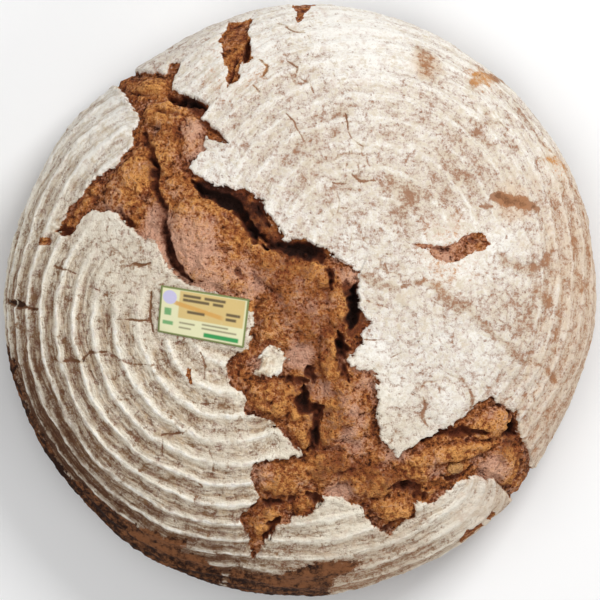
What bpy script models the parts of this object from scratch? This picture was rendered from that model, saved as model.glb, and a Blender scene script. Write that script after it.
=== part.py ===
"""A large round walnut bread loaf, baked hard so that its floured crust has torn open.

The loaf is one solid: a low dome on a flat base, with the rings of its proving basket pressed
into the crust, a wide tear of brown crumb between four crust plates, and deep clefts in the tear.
A small paper label lies in a shallow seat beside the tear, and one piece of walnut shows in it.

The skin is worked out in millimetres and turned to metres at the end. Two sets of coordinates
are used. The plan is the view from straight above, on a grid of half a millimetre, x to the
right and y to the back, from the loaf's middle. The skin plane is the crust unrolled: a point
keeps its direction from the middle, and its distance is measured along the crust.
"""

import math

import bmesh
import bpy
import numpy as np
from mathutils import Matrix, Vector

MM = 0.001
GRID = 0.5  # millimetres in one step of the plan

# Overall form, in millimetres
HEIGHT = 100.0
MEAN_RADIUS = 148.0
WIDEST_AT = 30.0  # height of the widest ring
BASE_RADIUS = 116.0  # of the flat face that the loaf rests on
RIM_RADII = (146.5, 150.0, 149.0, 149.0, 142.5, 146.0, 148.0, 148.0, 149.0, 147.0, 145.5, 143.0)

# Rings of the proving basket: middle of each set and first ring, in millimetres on the skin
# plane, then the pitch, how much it tightens from ring to ring, and the rings' depth.
EAST_RINGS = ((33.0, 26.0), 13.4, 14.7, 0.31, 0.45)
EAST_RIM_RINGS = ((30.0, 12.4), 86.0, 10.2, 0.0, 0.65)
WEST_RINGS = ((-34.5, -9.5), 21.9, 13.4, 0.252, 1.25)
NORTH_WEST_RINGS = ((-56.0, 18.5), 70.3, 13.2, 0.0, 1.15)
SOUTH_RINGS = ((-1.3, 3.9), 117.0, 11.5, 0.0, 0.85)
RINGS_END = 30.0  # millimetres below the widest ring at which the last ring has died out

# Edges of the four crust plates round the tear, in steps of the plan
EAST_EDGE = (
    (-162, 230), (-135, 228), (-130, 238), (-119, 240), (-127, 224), (-128, 212), (-110, 205),
    (-90, 196), (-97, 183), (-72, 158), (-95, 166), (-98, 152), (-113, 133), (-97, 119),
    (-78, 113), (-57, 112), (-37, 95), (-29, 82), (-16, 62), (0, 62), (22, 54), (38, 43),
    (53, 36), (59, 20), (56, 8), (58, -11), (72, -18), (60, -30), (58, -40), (43, -57),
    (48, -66), (70, -68), (77, -80), (73, -110), (80, -138), (97, -152), (104, -144),
    (124, -132), (146, -127), (160, -115), (174, -102), (190, -96), (205, -103), (215, -110),
    (219, -132), (227, -143), (230, -163),
)
SOUTH_EAST_RIM = ((248, -178), (232, -215))
SOUTH_EDGE = (
    (212, -199), (203, -190), (192, -177), (168, -174), (152, -183), (134, -200), (111, -200),
    (115, -213), (100, -221), (90, -233), (72, -225), (58, -203), (40, -193), (21, -192),
    (18, -202), (-3, -214), (-24, -222), (-32, -238), (-48, -255),
)
WEST_EDGE = (
    (-53, -230), (-63, -213), (-50, -199), (-40, -194), (-50, -182), (-47, -161), (-13, -155),
    (0, -151), (-15, -133), (-37, -115), (-54, -112), (-55, -95), (-74, -75), (-72, -61),
    (-54, -46), (-48, -10), (-85, 11), (-115, 16), (-132, 38), (-146, 60), (-166, 68),
    (-183, 87), (-198, 89), (-205, 95), (-220, 87), (-230, 69), (-251, 70),
)
NORTH_WEST_EDGE = (
    (-240, 83), (-225, 105), (-208, 122), (-187, 137), (-172, 155), (-161, 182), (-172, 203),
    (-188, 216),
)
NORTH_WEST_RIM = ((-202, 234), (-182, 250))

TEAR_DEPTH = 2.6  # millimetres from the plates down to the torn crumb
TEAR_WALL = 3.0  # run of the wall at a plate's edge
CRUMB_RISE = 8.0  # run from the edge over which the crumb's bulges reach their height
PLATE_LIP = 0.8  # rise of a plate towards its torn edge
LIP_RUN = 9.0

# Bulges of the torn crumb: middle and half lengths in steps of the plan, turn in degrees
# anticlockwise from x, and height in millimetres
LOBES = (
    (-88, 45, 68, 34, -62, 5.2),
    (-38, 42, 60, 17, -45, 4.4),
    (10, 30, 30, 18, -5, 3.4),
    (-10, -15, 42, 32, 20, 3.0),
    (37, 0, 12, 26, 0, 2.8),
    (46, 30, 14, 9, -60, 2.6),
    (28, -58, 10, 30, 5, 3.4),
    (48, -100, 26, 40, 10, 4.0),
    (64, -72, 20, 11, -20, 3.0),
    (-30, -95, 26, 22, 0, 3.6),
    (0, -128, 14, 26, 15, 3.0),
    (30, -128, 14, 16, 0, 2.8),
    (-20, -172, 30, 22, 0, 3.0),
    (28, -166, 26, 20, 0, 3.0),
    (68, -180, 26, 17, -15, 3.2),
    (92, -206, 26, 14, -10, 3.4),
    (150, -150, 55, 10, 5, 3.4),
    (192, -120, 30, 17, 20, 4.4),
    (202, -166, 24, 26, 0, 3.4),
    (118, -164, 20, 14, 0, 2.6),
    (-36, -218, 18, 18, 0, 2.4),
    (-146, 216, 24, 12, 0, 3.4),
    (-136, 188, 26, 16, 0, 3.2),
    (-134, 158, 16, 26, 0, 3.0),
    (-172, 118, 34, 24, 55, 3.8),
    (-110, 164, 14, 26, 0, 2.6),
    (-216, 106, 26, 10, 50, 2.0),
)
CRUMB_LUMP = 9.0  # size and height of the small lumps between the bulges, in millimetres
CRUMB_LUMP_HEIGHT = 1.5

# Clefts: route in steps of the plan, then width and depth in millimetres
CLEFTS = (
    (((-135, 207), (-114, 201), (-95, 196)), 5.9, 5.5),
    (((-99, 200), (-88, 174), (-72, 158)), 2.4, 2.5),
    (((-112, 124), (-97, 112), (-80, 105), (-66, 95), (-57, 78), (-46, 62), (-34, 54)), 3.7, 5.0),
    (((-44, 66), (-15, 54), (5, 52), (22, 44), (30, 30), (28, 14)), 5.1, 4.5),
    (((52, 18), (50, -5), (50, -26)), 6.0, 6.5),
    (((38, -30), (41, -45), (38, -62), (46, -78)), 4.7, 5.5),
    (((-148, 148), (-144, 118), (-135, 93), (-134, 62), (-124, 37), (-108, 19)), 3.5, 3.6),
    (((0, -82), (2, -102), (24, -106)), 4.0, 4.0),
    (((24, -104), (15, -122), (9, -147)), 4.4, 4.0),
    (((84, -182), (108, -183), (122, -199)), 4.4, 4.5),
    (((208, -106), (214, -128), (202, -134)), 5.9, 6.0),
    (((118, -136), (146, -130), (186, -129)), 3.3, 3.0),
    (((96, -218), (84, -230)), 4.4, 3.5),
    (((-24, -214), (-36, -238)), 5.1, 4.0),
)

# Small tears in the plates: route in steps of the plan, then width and depth in millimetres
SMALL_TEARS = (
    (((-60, 272), (-66, 250), (-68, 218)), 6.0, 2.2),
    (((112, 56), (150, 54), (186, 58)), 5.0, 1.4),
    (((-263, 62), (-254, 60)), 3.0, 1.0),
)

# Blisters of the crust: middle in steps of the plan, radius and height in millimetres
BLISTERS = (((143, -100), 11.0, 1.2), ((223, 65), 14.0, 1.6))

# Label: corners on the plan, clockwise from its upper left, and sizes in millimetres
LABEL_CORNERS = ((-138, 17), (-51, 3), (-57, -45), (-142, -29))
LABEL_THICKNESS = 0.5
LABEL_LIFT = 0.9  # of its underside over the smooth dome
LABEL_COLUMNS = 12
LABEL_ROWS = 6
SEAT_GAP = 0.3
SEAT_MARGIN = 1.5
SEAT_TOP = 12.0  # of the cutter, clear of the crust round the label

# Walnut piece: middle on the plan, half lengths and how deep its middle lies, in millimetres
WALNUT_AT = (153, -165)
WALNUT_HALF_LENGTHS = (4.6, 3.3, 2.7)
WALNUT_TURN = math.radians(12)
WALNUT_LIFT = 0.6
WALNUT_WRINKLE = 0.35
POCKET_GAP = 0.4

# Fineness of the mesh
PROFILE_STEPS = 400
SEGMENTS = 480
RINGS = 210
BASE_SHARE = 0.06  # of the rings that lie in the flat base
LOAF_TRIANGLES = 8200

# Unevenness: size across and height of the noise, in millimetres
EDGE_RAGGED = ((9.0, 0.9), (4.0, 0.5))
CLEFT_RAGGED = (5.0, 0.5)
SWELL = ((60.0, 1.2), (18.0, 0.5))
BASE_FADE = 25.0  # run up from the base over which all relief begins

NOISE_SEED = 5
CRUST_COLOUR = (0.70, 0.63, 0.52, 1.0)
LABEL_COLOUR = (0.84, 0.78, 0.50, 1.0)
WALNUT_COLOUR = (0.45, 0.24, 0.10, 1.0)


def clear_scene():
    for obj in list(bpy.data.objects):
        bpy.data.objects.remove(obj, do_unlink=True)


def make_material(name, colour, roughness):
    material = bpy.data.materials.new(name)
    material.use_nodes = True
    shader = material.node_tree.nodes["Principled BSDF"]
    shader.inputs["Base Color"].default_value = colour
    shader.inputs["Roughness"].default_value = roughness
    shader.inputs["Metallic"].default_value = 0.0
    return material


# Noise


def smooth(low, high, value):
    """0 below low, 1 above high and a smooth ramp between."""
    t = np.clip((value - low) / (high - low), 0.0, 1.0)
    return t * t * (3.0 - 2.0 * t)


def lattice(column, row, seed):
    """A repeatable number from 0 to 1 for each point of a square lattice."""
    key = column.astype(np.int64) * 374761393 + row.astype(np.int64) * 668265263 + seed * 982451653
    key = (key ^ (key >> 13)) * 1274126177
    return ((key ^ (key >> 16)) & 0xFFFFFF) / float(0xFFFFFF)


def noise(u, v, size, seed=0):
    """Smooth noise from -1 to 1 whose features are about size across."""
    column, row = np.floor(u / size), np.floor(v / size)
    a, b = u / size - column, v / size - row
    a, b = a * a * (3.0 - 2.0 * a), b * b * (3.0 - 2.0 * b)
    seed += NOISE_SEED
    low = lattice(column, row, seed) * (1.0 - a) + lattice(column + 1, row, seed) * a
    high = lattice(column, row + 1, seed) * (1.0 - a) + lattice(column + 1, row + 1, seed) * a
    return 2.0 * (low * (1.0 - b) + high * b) - 1.0


def lumps(u, v, size, seed=0):
    """Rounded lumps from 0 in the creases to 1 on top, one in each cell of a lattice."""
    column, row = np.floor(u / size), np.floor(v / size)
    nearest = np.full(u.shape, 9.0)
    for i in (-1, 0, 1):
        for j in (-1, 0, 1):
            middle_u = column + i + lattice(column + i, row + j, seed + 11)
            middle_v = row + j + lattice(column + i, row + j, seed + 12)
            nearest = np.minimum(nearest, np.hypot(u / size - middle_u, v / size - middle_v))
    return np.sqrt(np.clip(1.0 - nearest**2, 0.0, 1.0))


# The loaf's smooth form


def profile():
    """Distance along the crust from the top, radius and height, down to the edge of the base."""
    turn = np.linspace(0.0, math.pi / 2, PROFILE_STEPS)
    radius = MEAN_RADIUS * np.sin(turn)
    height = WIDEST_AT + (HEIGHT - WIDEST_AT) * np.cos(turn)
    under = turn[1:]
    radius = np.append(radius, BASE_RADIUS + (MEAN_RADIUS - BASE_RADIUS) * np.cos(under))
    height = np.append(height, WIDEST_AT * (1.0 - np.sin(under)))
    steps = np.hypot(np.diff(radius), np.diff(height))
    return np.append(0.0, np.cumsum(steps)), radius, height


SKIN, SKIN_RADIUS, SKIN_HEIGHT = profile()
WIDEST_SKIN = SKIN[PROFILE_STEPS - 1]
BASE_SKIN = SKIN[-1]


def rim_factor(angle):
    """How much wider than the mean the loaf is in a direction."""
    place = np.mod(angle / (2 * math.pi), 1.0) * len(RIM_RADII)
    index = np.floor(place).astype(int) % len(RIM_RADII)
    share = place - np.floor(place)
    share = share * share * (3.0 - 2.0 * share)
    radii = np.array(RIM_RADII)
    return (radii[index] * (1.0 - share) + np.roll(radii, -1)[index] * share) / MEAN_RADIUS


def unrolled(x, y):
    """Points of the plan, in millimetres, on the skin plane. Past the rim they run on downwards."""
    angle = np.arctan2(y, x)
    radius = np.hypot(x, y) / rim_factor(angle)
    inside = np.interp(radius, SKIN_RADIUS[:PROFILE_STEPS], SKIN[:PROFILE_STEPS])
    skin = inside + np.maximum(radius - MEAN_RADIUS, 0.0)
    return skin * np.cos(angle), skin * np.sin(angle)


def skin_points(route):
    """A route in steps of the plan as an array of points of the skin plane."""
    plan = np.array(route, float) * GRID
    return np.stack(unrolled(plan[:, 0], plan[:, 1]), axis=1)


def on_loaf(u, v, rise):
    """Points of space, in millimetres, at a rise over the smooth form."""
    angle = np.arctan2(v, u)
    skin = np.hypot(u, v)
    radius, height = np.interp(skin, SKIN, SKIN_RADIUS), np.interp(skin, SKIN, SKIN_HEIGHT)
    step = 0.5
    out = np.interp(skin + step, SKIN, SKIN_RADIUS) - np.interp(skin - step, SKIN, SKIN_RADIUS)
    down = np.interp(skin - step, SKIN, SKIN_HEIGHT) - np.interp(skin + step, SKIN, SKIN_HEIGHT)
    length = np.maximum(np.hypot(out, down), 1e-9)
    radius = radius * rim_factor(angle) + rise * down / length
    return np.stack([radius * np.cos(angle), radius * np.sin(angle), height + rise * out / length], 1)


# Distances on the skin plane


def to_segment(u, v, start, end):
    """Distance from each point to a straight piece."""
    along = end - start
    share = ((u - start[0]) * along[0] + (v - start[1]) * along[1]) / max(along @ along, 1e-9)
    share = np.clip(share, 0.0, 1.0)
    return np.hypot(u - start[0] - share * along[0], v - start[1] - share * along[1])


def to_route(u, v, points):
    """Distance from each point to an open route."""
    return np.min([to_segment(u, v, a, b) for a, b in zip(points[:-1], points[1:])], axis=0)


def into_outline(u, v, points):
    """Distance from each point to a closed outline, positive inside it."""
    inside = np.zeros(u.shape, bool)
    nearest = np.full(u.shape, 1e9)
    for a, b in zip(points, np.roll(points, -1, axis=0)):
        nearest = np.minimum(nearest, to_segment(u, v, a, b))
        crosses = (a[1] > v) != (b[1] > v)
        rise = b[1] - a[1] if b[1] != a[1] else 1e-9
        inside ^= crosses & (u < a[0] + (b[0] - a[0]) * (v - a[1]) / rise)
    return np.where(inside, nearest, -nearest)


# Relief of the crust, in millimetres over the smooth form


def ring_count(u, v, rings):
    """How many rings out from the first one of a set a point lies."""
    middle, first, pitch, tightening, _ = rings
    out = np.hypot(u - middle[0], v - middle[1]) - first
    if tightening == 0.0:
        return out / pitch
    return (pitch - np.sqrt(np.maximum(pitch**2 - 4.0 * tightening * out, 0.0))) / (2.0 * tightening)


def between(angle, start, end, soft=6.0):
    """1 where a direction in degrees lies between two others, with soft ends."""
    middle, half = (start + end) / 2.0, (end - start) / 2.0
    away = np.abs(np.mod(angle - middle + 180.0, 360.0) - 180.0)
    return 1.0 - smooth(half - soft / 2.0, half + soft / 2.0, away)


def ring_relief(u, v):
    """Sharp crests with hollows between them. Each plate of crust carries its own set."""
    angle = np.degrees(np.arctan2(v, u)) + 2.0 * noise(u, v, 30.0, 3)
    waver = 0.06 * noise(u, v, 14.0, 4)
    parts = (
        (EAST_RINGS, between(angle, 28.0, 125.0)),
        (EAST_RIM_RINGS, between(angle, -42.0, 28.0)),
        (NORTH_WEST_RINGS, between(angle, 125.0, 166.0)),
        (WEST_RINGS, between(angle, 166.0, 261.0)),
        (SOUTH_RINGS, between(angle, 261.0, 318.0)),
    )
    relief = np.zeros(u.shape)
    for rings, share in parts:
        hollow = np.abs(np.sin(math.pi * (ring_count(u, v, rings) + waver)))
        relief -= share * rings[4] * hollow
    return relief * (1.0 - smooth(WIDEST_SKIN, WIDEST_SKIN + RINGS_END, np.hypot(u, v)))


def lobe_relief(u, v):
    """Rounded bulges of crumb that meet in creases, over a field of small lumps."""
    relief = CRUMB_LUMP_HEIGHT * lumps(u, v, CRUMB_LUMP, 20)
    for x, y, long, wide, turn, height in LOBES:
        ((middle_u, middle_v),) = skin_points(((x, y),))
        cos, sin = math.cos(math.radians(turn)), math.sin(math.radians(turn))
        along = ((u - middle_u) * cos + (v - middle_v) * sin) / (long * GRID)
        across = ((v - middle_v) * cos - (u - middle_u) * sin) / (wide * GRID)
        dome = height * np.sqrt(np.clip(1.0 - along**2 - across**2, 0.0, 1.0))
        relief = np.maximum(relief, dome) + 0.3 * np.minimum(relief, dome)
    return relief


def cleft_relief(u, v, clefts):
    """Furrows with steep sides and ragged edges."""
    relief = np.zeros(u.shape)
    size, shift = CLEFT_RAGGED
    for route, width, depth in clefts:
        away = to_route(u, v, skin_points(route)) + shift * noise(u, v, size, 8)
        relief = np.minimum(relief, -depth * (1.0 - smooth(0.1 * width, 0.75 * width, away)))
    return relief


def blister_relief(u, v):
    relief = np.zeros(u.shape)
    for middle, radius, height in BLISTERS:
        ((middle_u, middle_v),) = skin_points((middle,))
        away = np.hypot(u - middle_u, v - middle_v) / radius
        relief += height * np.sqrt(np.clip(1.0 - away**2, 0.0, 1.0))
    return relief


def label_cover(u, v):
    """1 under the label and 0 away from it."""
    inside = into_outline(u, v, skin_points(LABEL_CORNERS))
    return smooth(-3.0 * SEAT_MARGIN, -SEAT_MARGIN, inside)


def relief_of(u, v):
    """The crust's whole relief at points of the skin plane."""
    outline = EAST_EDGE + SOUTH_EAST_RIM + SOUTH_EDGE + WEST_EDGE + NORTH_WEST_EDGE + NORTH_WEST_RIM
    depth = into_outline(u, v, skin_points(outline))
    depth += sum(shift * noise(u, v, size, 1) for size, shift in EDGE_RAGGED)
    torn = smooth(-TEAR_WALL / 2.0, TEAR_WALL / 2.0, depth)
    plate = ring_relief(u, v) + blister_relief(u, v) + cleft_relief(u, v, SMALL_TEARS)
    plate += PLATE_LIP * np.exp(np.minimum(depth, 0.0) / LIP_RUN)
    crumb = lobe_relief(u, v) * smooth(0.0, CRUMB_RISE, depth) - TEAR_DEPTH
    relief = plate * (1.0 - torn) + crumb * torn + cleft_relief(u, v, CLEFTS)
    relief += sum(height * noise(u, v, size, 5) for size, height in SWELL)
    seat = label_cover(u, v)
    relief = relief * (1.0 - seat) + (LABEL_LIFT - SEAT_GAP) * seat
    return relief * (1.0 - smooth(BASE_SKIN - BASE_FADE, BASE_SKIN, np.hypot(u, v)))


# Pieces


def make_object(name, mesh, material):
    mesh.materials.clear()
    mesh.materials.append(material)
    mesh.shade_smooth()
    obj = bpy.data.objects.new(name, mesh)
    bpy.context.scene.collection.objects.link(obj)
    return obj


def skin_mesh():
    """A ball whose points are moved on to the crust, from the top down and under the base."""
    shape = bmesh.new()
    bmesh.ops.create_uvsphere(shape, u_segments=SEGMENTS, v_segments=RINGS, radius=1.0)
    ball = np.array([vertex.co for vertex in shape.verts])
    turn = np.arctan2(np.hypot(ball[:, 0], ball[:, 1]), ball[:, 2]) / math.pi
    angle = np.arctan2(ball[:, 1], ball[:, 0])
    skin = np.minimum(turn / (1.0 - BASE_SHARE), 1.0) * BASE_SKIN
    u, v = skin * np.cos(angle), skin * np.sin(angle)
    points = on_loaf(u, v, relief_of(u, v))
    under = np.clip((1.0 - turn) / BASE_SHARE, 0.0, 1.0)
    flat = turn > 1.0 - BASE_SHARE
    points[flat, :2] *= under[flat, None]
    points[flat, 2] = 0.0
    for vertex, point in zip(shape.verts, points):
        vertex.co = Vector(point * MM)
    mesh = bpy.data.meshes.new("loaf_fine")
    shape.to_mesh(mesh)
    shape.free()
    return mesh


def decimated(mesh, triangles, name):
    """A copy of a mesh with about this many triangles, closest where the shape is finest."""
    obj = bpy.data.objects.new("fine", mesh)
    bpy.context.scene.collection.objects.link(obj)
    modifier = obj.modifiers.new("fewer", "DECIMATE")
    mesh.calc_loop_triangles()
    modifier.ratio = triangles / len(mesh.loop_triangles)
    graph = bpy.context.evaluated_depsgraph_get()
    result = bpy.data.meshes.new_from_object(obj.evaluated_get(graph))
    result.name = name
    bpy.data.objects.remove(obj, do_unlink=True)
    return result


def flatten_base(mesh):
    """Points within a tenth of a millimetre of the ground, or under it, lie on it exactly."""
    for vertex in mesh.vertices:
        if vertex.co.z < 0.1 * MM:
            vertex.co.z = 0.0


def sheet_mesh(name, corners, low, high, margin=0.0):
    """A closed sheet over four plan corners, between two rises over the smooth dome."""
    corners = skin_points(corners)
    middle = corners.mean(axis=0)
    away = corners - middle
    corners = middle + away * (1.0 + margin / np.abs(away).min(axis=1, keepdims=True))
    across = np.linspace(0.0, 1.0, LABEL_COLUMNS + 1)
    down = np.linspace(0.0, 1.0, LABEL_ROWS + 1)[:, None]
    grid = []
    for axis in (0, 1):
        top = corners[0, axis] * (1.0 - across) + corners[1, axis] * across
        bottom = corners[3, axis] * (1.0 - across) + corners[2, axis] * across
        grid.append((top * (1.0 - down) + bottom * down).ravel())
    points = np.concatenate([on_loaf(*grid, high), on_loaf(*grid, low)]) * MM
    width, count = LABEL_COLUMNS + 1, len(grid[0])
    faces = []
    for row in range(LABEL_ROWS):
        for column in range(LABEL_COLUMNS):
            a = row * width + column
            quad = (a, a + width, a + width + 1, a + 1)
            faces.append(quad)
            faces.append(tuple(count + index for index in reversed(quad)))
    rim = list(range(width)) + [row * width + width - 1 for row in range(1, LABEL_ROWS + 1)]
    rim += [LABEL_ROWS * width + column for column in range(LABEL_COLUMNS - 1, -1, -1)]
    rim += [row * width for row in range(LABEL_ROWS - 1, 0, -1)]
    for a, b in zip(rim, rim[1:] + rim[:1]):
        faces.append((a, b, count + b, count + a))
    mesh = bpy.data.meshes.new(name)
    mesh.from_pydata(points.tolist(), [], faces)
    return mesh


def walnut_wrinkle(ball):
    """How far the nut's skin is sunk at a point of the unit ball, in millimetres."""
    u, v = np.array([3.0 * ball.x + ball.z]), np.array([3.0 * ball.y])
    return WALNUT_WRINKLE * (1.0 - float(noise(u, v, 1.1, 31)[0]))


def walnut_mesh(name):
    """A wrinkled nut piece, turned and set on the crumb. The pocket is larger all round."""
    pocket = name == "pocket"
    shape = bmesh.new()
    bmesh.ops.create_icosphere(shape, subdivisions=2 if pocket else 3, radius=1.0)
    at = skin_points((WALNUT_AT,))
    ground = relief_of(at[:, 0], at[:, 1])
    middle = Vector(on_loaf(at[:, 0], at[:, 1], ground + WALNUT_LIFT)[0])
    turn = Matrix.Rotation(WALNUT_TURN, 3, "Z")
    for vertex in shape.verts:
        ball = vertex.co.copy()
        grown = POCKET_GAP if pocket else -walnut_wrinkle(ball)
        swollen = Vector(half * side for half, side in zip(WALNUT_HALF_LENGTHS, ball))
        vertex.co = (middle + turn @ (swollen + ball * grown)) * MM
    mesh = bpy.data.meshes.new(name)
    shape.to_mesh(mesh)
    shape.free()
    return mesh


def cut(obj, cutter_mesh, name):
    """Takes a closed mesh out of an object, by a hidden cutter."""
    cutter = bpy.data.objects.new(name, cutter_mesh)
    bpy.context.scene.collection.objects.link(cutter)
    cutter.hide_render = True
    cutter.display_type = "WIRE"
    modifier = obj.modifiers.new(name, "BOOLEAN")
    modifier.operation = "DIFFERENCE"
    modifier.object = cutter
    return cutter


def centre(objects, mesh):
    """Moves the meshes of the objects so that one of them stands over the origin."""
    x = [vertex.co.x for vertex in mesh.vertices]
    y = [vertex.co.y for vertex in mesh.vertices]
    shift = Vector(((min(x) + max(x)) / 2, (min(y) + max(y)) / 2, 0.0))
    for obj in objects:
        for vertex in obj.data.vertices:
            vertex.co -= shift


def main():
    clear_scene()
    crust = make_material("floured_crust", CRUST_COLOUR, 0.85)
    paper = make_material("label_paper", LABEL_COLOUR, 0.6)
    nut = make_material("walnut", WALNUT_COLOUR, 0.55)
    mesh = decimated(skin_mesh(), LOAF_TRIANGLES, "loaf")
    flatten_base(mesh)
    loaf = make_object("loaf", mesh, crust)
    top = LABEL_LIFT + LABEL_THICKNESS
    label = make_object("label", sheet_mesh("label", LABEL_CORNERS, LABEL_LIFT, top), paper)
    walnut = make_object("walnut_piece", walnut_mesh("walnut_piece"), nut)
    seat = sheet_mesh("seat", LABEL_CORNERS, LABEL_LIFT - SEAT_GAP, SEAT_TOP, SEAT_GAP)
    cutters = [cut(loaf, seat, "label_seat"), cut(loaf, walnut_mesh("pocket"), "walnut_pocket")]
    centre([loaf, label, walnut] + cutters, mesh)


main()
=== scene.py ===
"""Looks of a large round walnut bread loaf: floured crust, basket rings, torn crumb and label.

The crust is made again here with finer relief, over the same form and round the same tear as the
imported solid. Lengths are in millimetres until a mesh is written. Places on the loaf are drawn on
its plan, the view from straight above on a grid of half a millimetre, x to the right and y to the
back. The skin plane is the crust unrolled: a point keeps its direction from the middle, and its
distance from the middle is measured along the crust. Directions are in degrees anticlockwise
from x.
"""

import math
from collections import namedtuple

import bmesh
import bpy
import numpy as np
from mathutils import Matrix, Vector


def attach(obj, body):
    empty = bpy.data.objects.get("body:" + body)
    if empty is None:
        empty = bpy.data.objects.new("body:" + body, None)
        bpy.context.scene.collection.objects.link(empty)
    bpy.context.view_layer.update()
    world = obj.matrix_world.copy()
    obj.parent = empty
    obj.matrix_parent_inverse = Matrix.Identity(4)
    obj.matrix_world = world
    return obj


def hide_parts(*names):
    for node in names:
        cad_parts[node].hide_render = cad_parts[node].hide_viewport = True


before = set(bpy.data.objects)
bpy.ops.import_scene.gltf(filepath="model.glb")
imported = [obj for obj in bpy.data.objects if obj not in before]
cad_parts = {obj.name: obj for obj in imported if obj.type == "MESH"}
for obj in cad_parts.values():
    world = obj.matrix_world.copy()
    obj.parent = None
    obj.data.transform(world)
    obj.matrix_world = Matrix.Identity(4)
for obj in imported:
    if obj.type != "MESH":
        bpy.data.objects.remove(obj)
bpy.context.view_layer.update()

MM = 0.001
GRID = 0.5  # millimetres in one step of the plan

# Overall form, as in the solid
HEIGHT = 100.0
MEAN_RADIUS = 148.0
WIDEST_AT = 30.0
BASE_RADIUS = 116.0
RIM_RADII = (146.5, 150.0, 149.0, 149.0, 142.5, 146.0, 148.0, 148.0, 149.0, 147.0, 145.5, 143.0)

# Ring sets: middle, first ring, pitch, tightening, depth and flour in their hollows, the count at
# the first ring, so that each set runs on into the next, the directions between which the set
# lies, and the direction from which the distance along its rings is counted
Rings = namedtuple("Rings", "middle first pitch tightening depth flour offset start end facing")
EAST_RINGS = Rings((33.0, 26.0), 13.4, 14.7, 0.31, 0.60, 0.56, 0.0, 20.0, 125.0, 70.0)
EAST_RIM_RINGS = Rings((30.0, 12.4), 96.2, 10.2, 0.0, 0.65, 0.46, 6.0, -42.0, 20.0, -10.0)
NORTH_WEST_RINGS = Rings((-56.0, 18.5), 70.3, 13.2, 0.0, 1.15, 0.62, 3.0, 125.0, 166.0, 145.0)
WEST_RINGS = Rings((-34.5, -9.5), 21.9, 13.4, 0.252, 1.25, 0.58, -4.0, 166.0, 261.0, 213.0)
SOUTH_RINGS = Rings((-1.3, 3.9), 117.0, 11.5, 0.0, 0.85, 0.64, 3.0, 261.0, 318.0, 290.0)
RING_SETS = (EAST_RINGS, EAST_RIM_RINGS, NORTH_WEST_RINGS, WEST_RINGS, SOUTH_RINGS)
SETS_MEET = 16.0  # degrees over which one set turns into the next
BEFORE_FIRST = (-1.2, 0.2)  # counts between which a set begins
FLOUR_BEFORE_FIRST = 0.70
DEPTH_BEFORE_FIRST = 0.15  # share of the set's depth
RINGS_END = 30.0
CREST_WIDTH = 0.08  # of the floured crest line, in ring pitches
CREST_RISE = 0.4
CREST_CRUMBLED = ((7.0, 0.7), (2.6, 0.5))
CREST_LEFT = 0.70  # of a crest, on average
CROWDED = (0.13, 0.20)  # rings in a millimetre at which they start to fade and are gone
# Places where the flaked crust shows no rings: middle on the plan, radius and loss
RINGLESS = ((-172, 30, 62, 0.9), (-178, 66, 44, 0.8), (-150, -30, 26, 0.6), (-60, -80, 26, 0.5),
            (-78, -140, 40, 0.4), (-100, -56, 34, 0.3))

# Edges of the four crust plates round the tear, in steps of the plan
EAST_EDGE = (
    (-162, 230), (-135, 228), (-130, 238), (-119, 240), (-127, 224), (-128, 212), (-110, 205),
    (-90, 196), (-97, 183), (-72, 158), (-95, 166), (-98, 152), (-113, 133), (-97, 119),
    (-78, 113), (-57, 112), (-37, 95), (-29, 82), (-16, 62), (0, 62), (22, 54), (38, 43),
    (53, 36), (59, 20), (56, 8), (58, -11), (72, -18), (60, -30), (58, -40), (43, -57),
    (48, -66), (70, -68), (77, -80), (73, -110), (80, -138), (97, -152), (104, -144),
    (124, -132), (146, -127), (160, -115), (174, -102), (190, -96), (205, -103), (215, -110),
    (219, -132), (227, -143), (230, -163),
)
SOUTH_EAST_RIM = ((248, -178), (232, -215))
SOUTH_EDGE = (
    (212, -199), (203, -190), (192, -177), (168, -174), (152, -183), (134, -200), (111, -200),
    (115, -213), (100, -221), (90, -233), (72, -225), (58, -203), (40, -193), (21, -192),
    (18, -202), (-3, -214), (-24, -222), (-32, -238), (-48, -255),
)
WEST_EDGE = (
    (-53, -230), (-63, -213), (-50, -199), (-40, -194), (-50, -182), (-47, -161), (-13, -155),
    (0, -151), (-15, -133), (-37, -115), (-54, -112), (-55, -95), (-74, -75), (-72, -61),
    (-54, -46), (-48, -10), (-85, 11), (-115, 16), (-132, 38), (-146, 60), (-166, 68),
    (-183, 87), (-198, 89), (-205, 95), (-220, 87), (-230, 69), (-251, 70),
)
NORTH_WEST_EDGE = (
    (-240, 83), (-225, 105), (-208, 122), (-187, 137), (-172, 155), (-161, 182), (-172, 203),
    (-188, 216),
)
NORTH_WEST_RIM = ((-202, 234), (-182, 250))
CRUST_ISLAND = ((-40, -56), (-33, -46), (-21, -47), (-15, -57), (-19, -68), (-30, -76), (-47, -71))

# The tear, in millimetres
TEAR_DEPTH = 2.6
TEAR_WALL = 1.6
CRUMB_RISE = 6.0  # from the edge of the tear to the full height of the crumb
PLATE_LIP = 0.8
LIP_RUN = 9.0  # from the edge back to where the plate's raised lip has nearly died away

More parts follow.
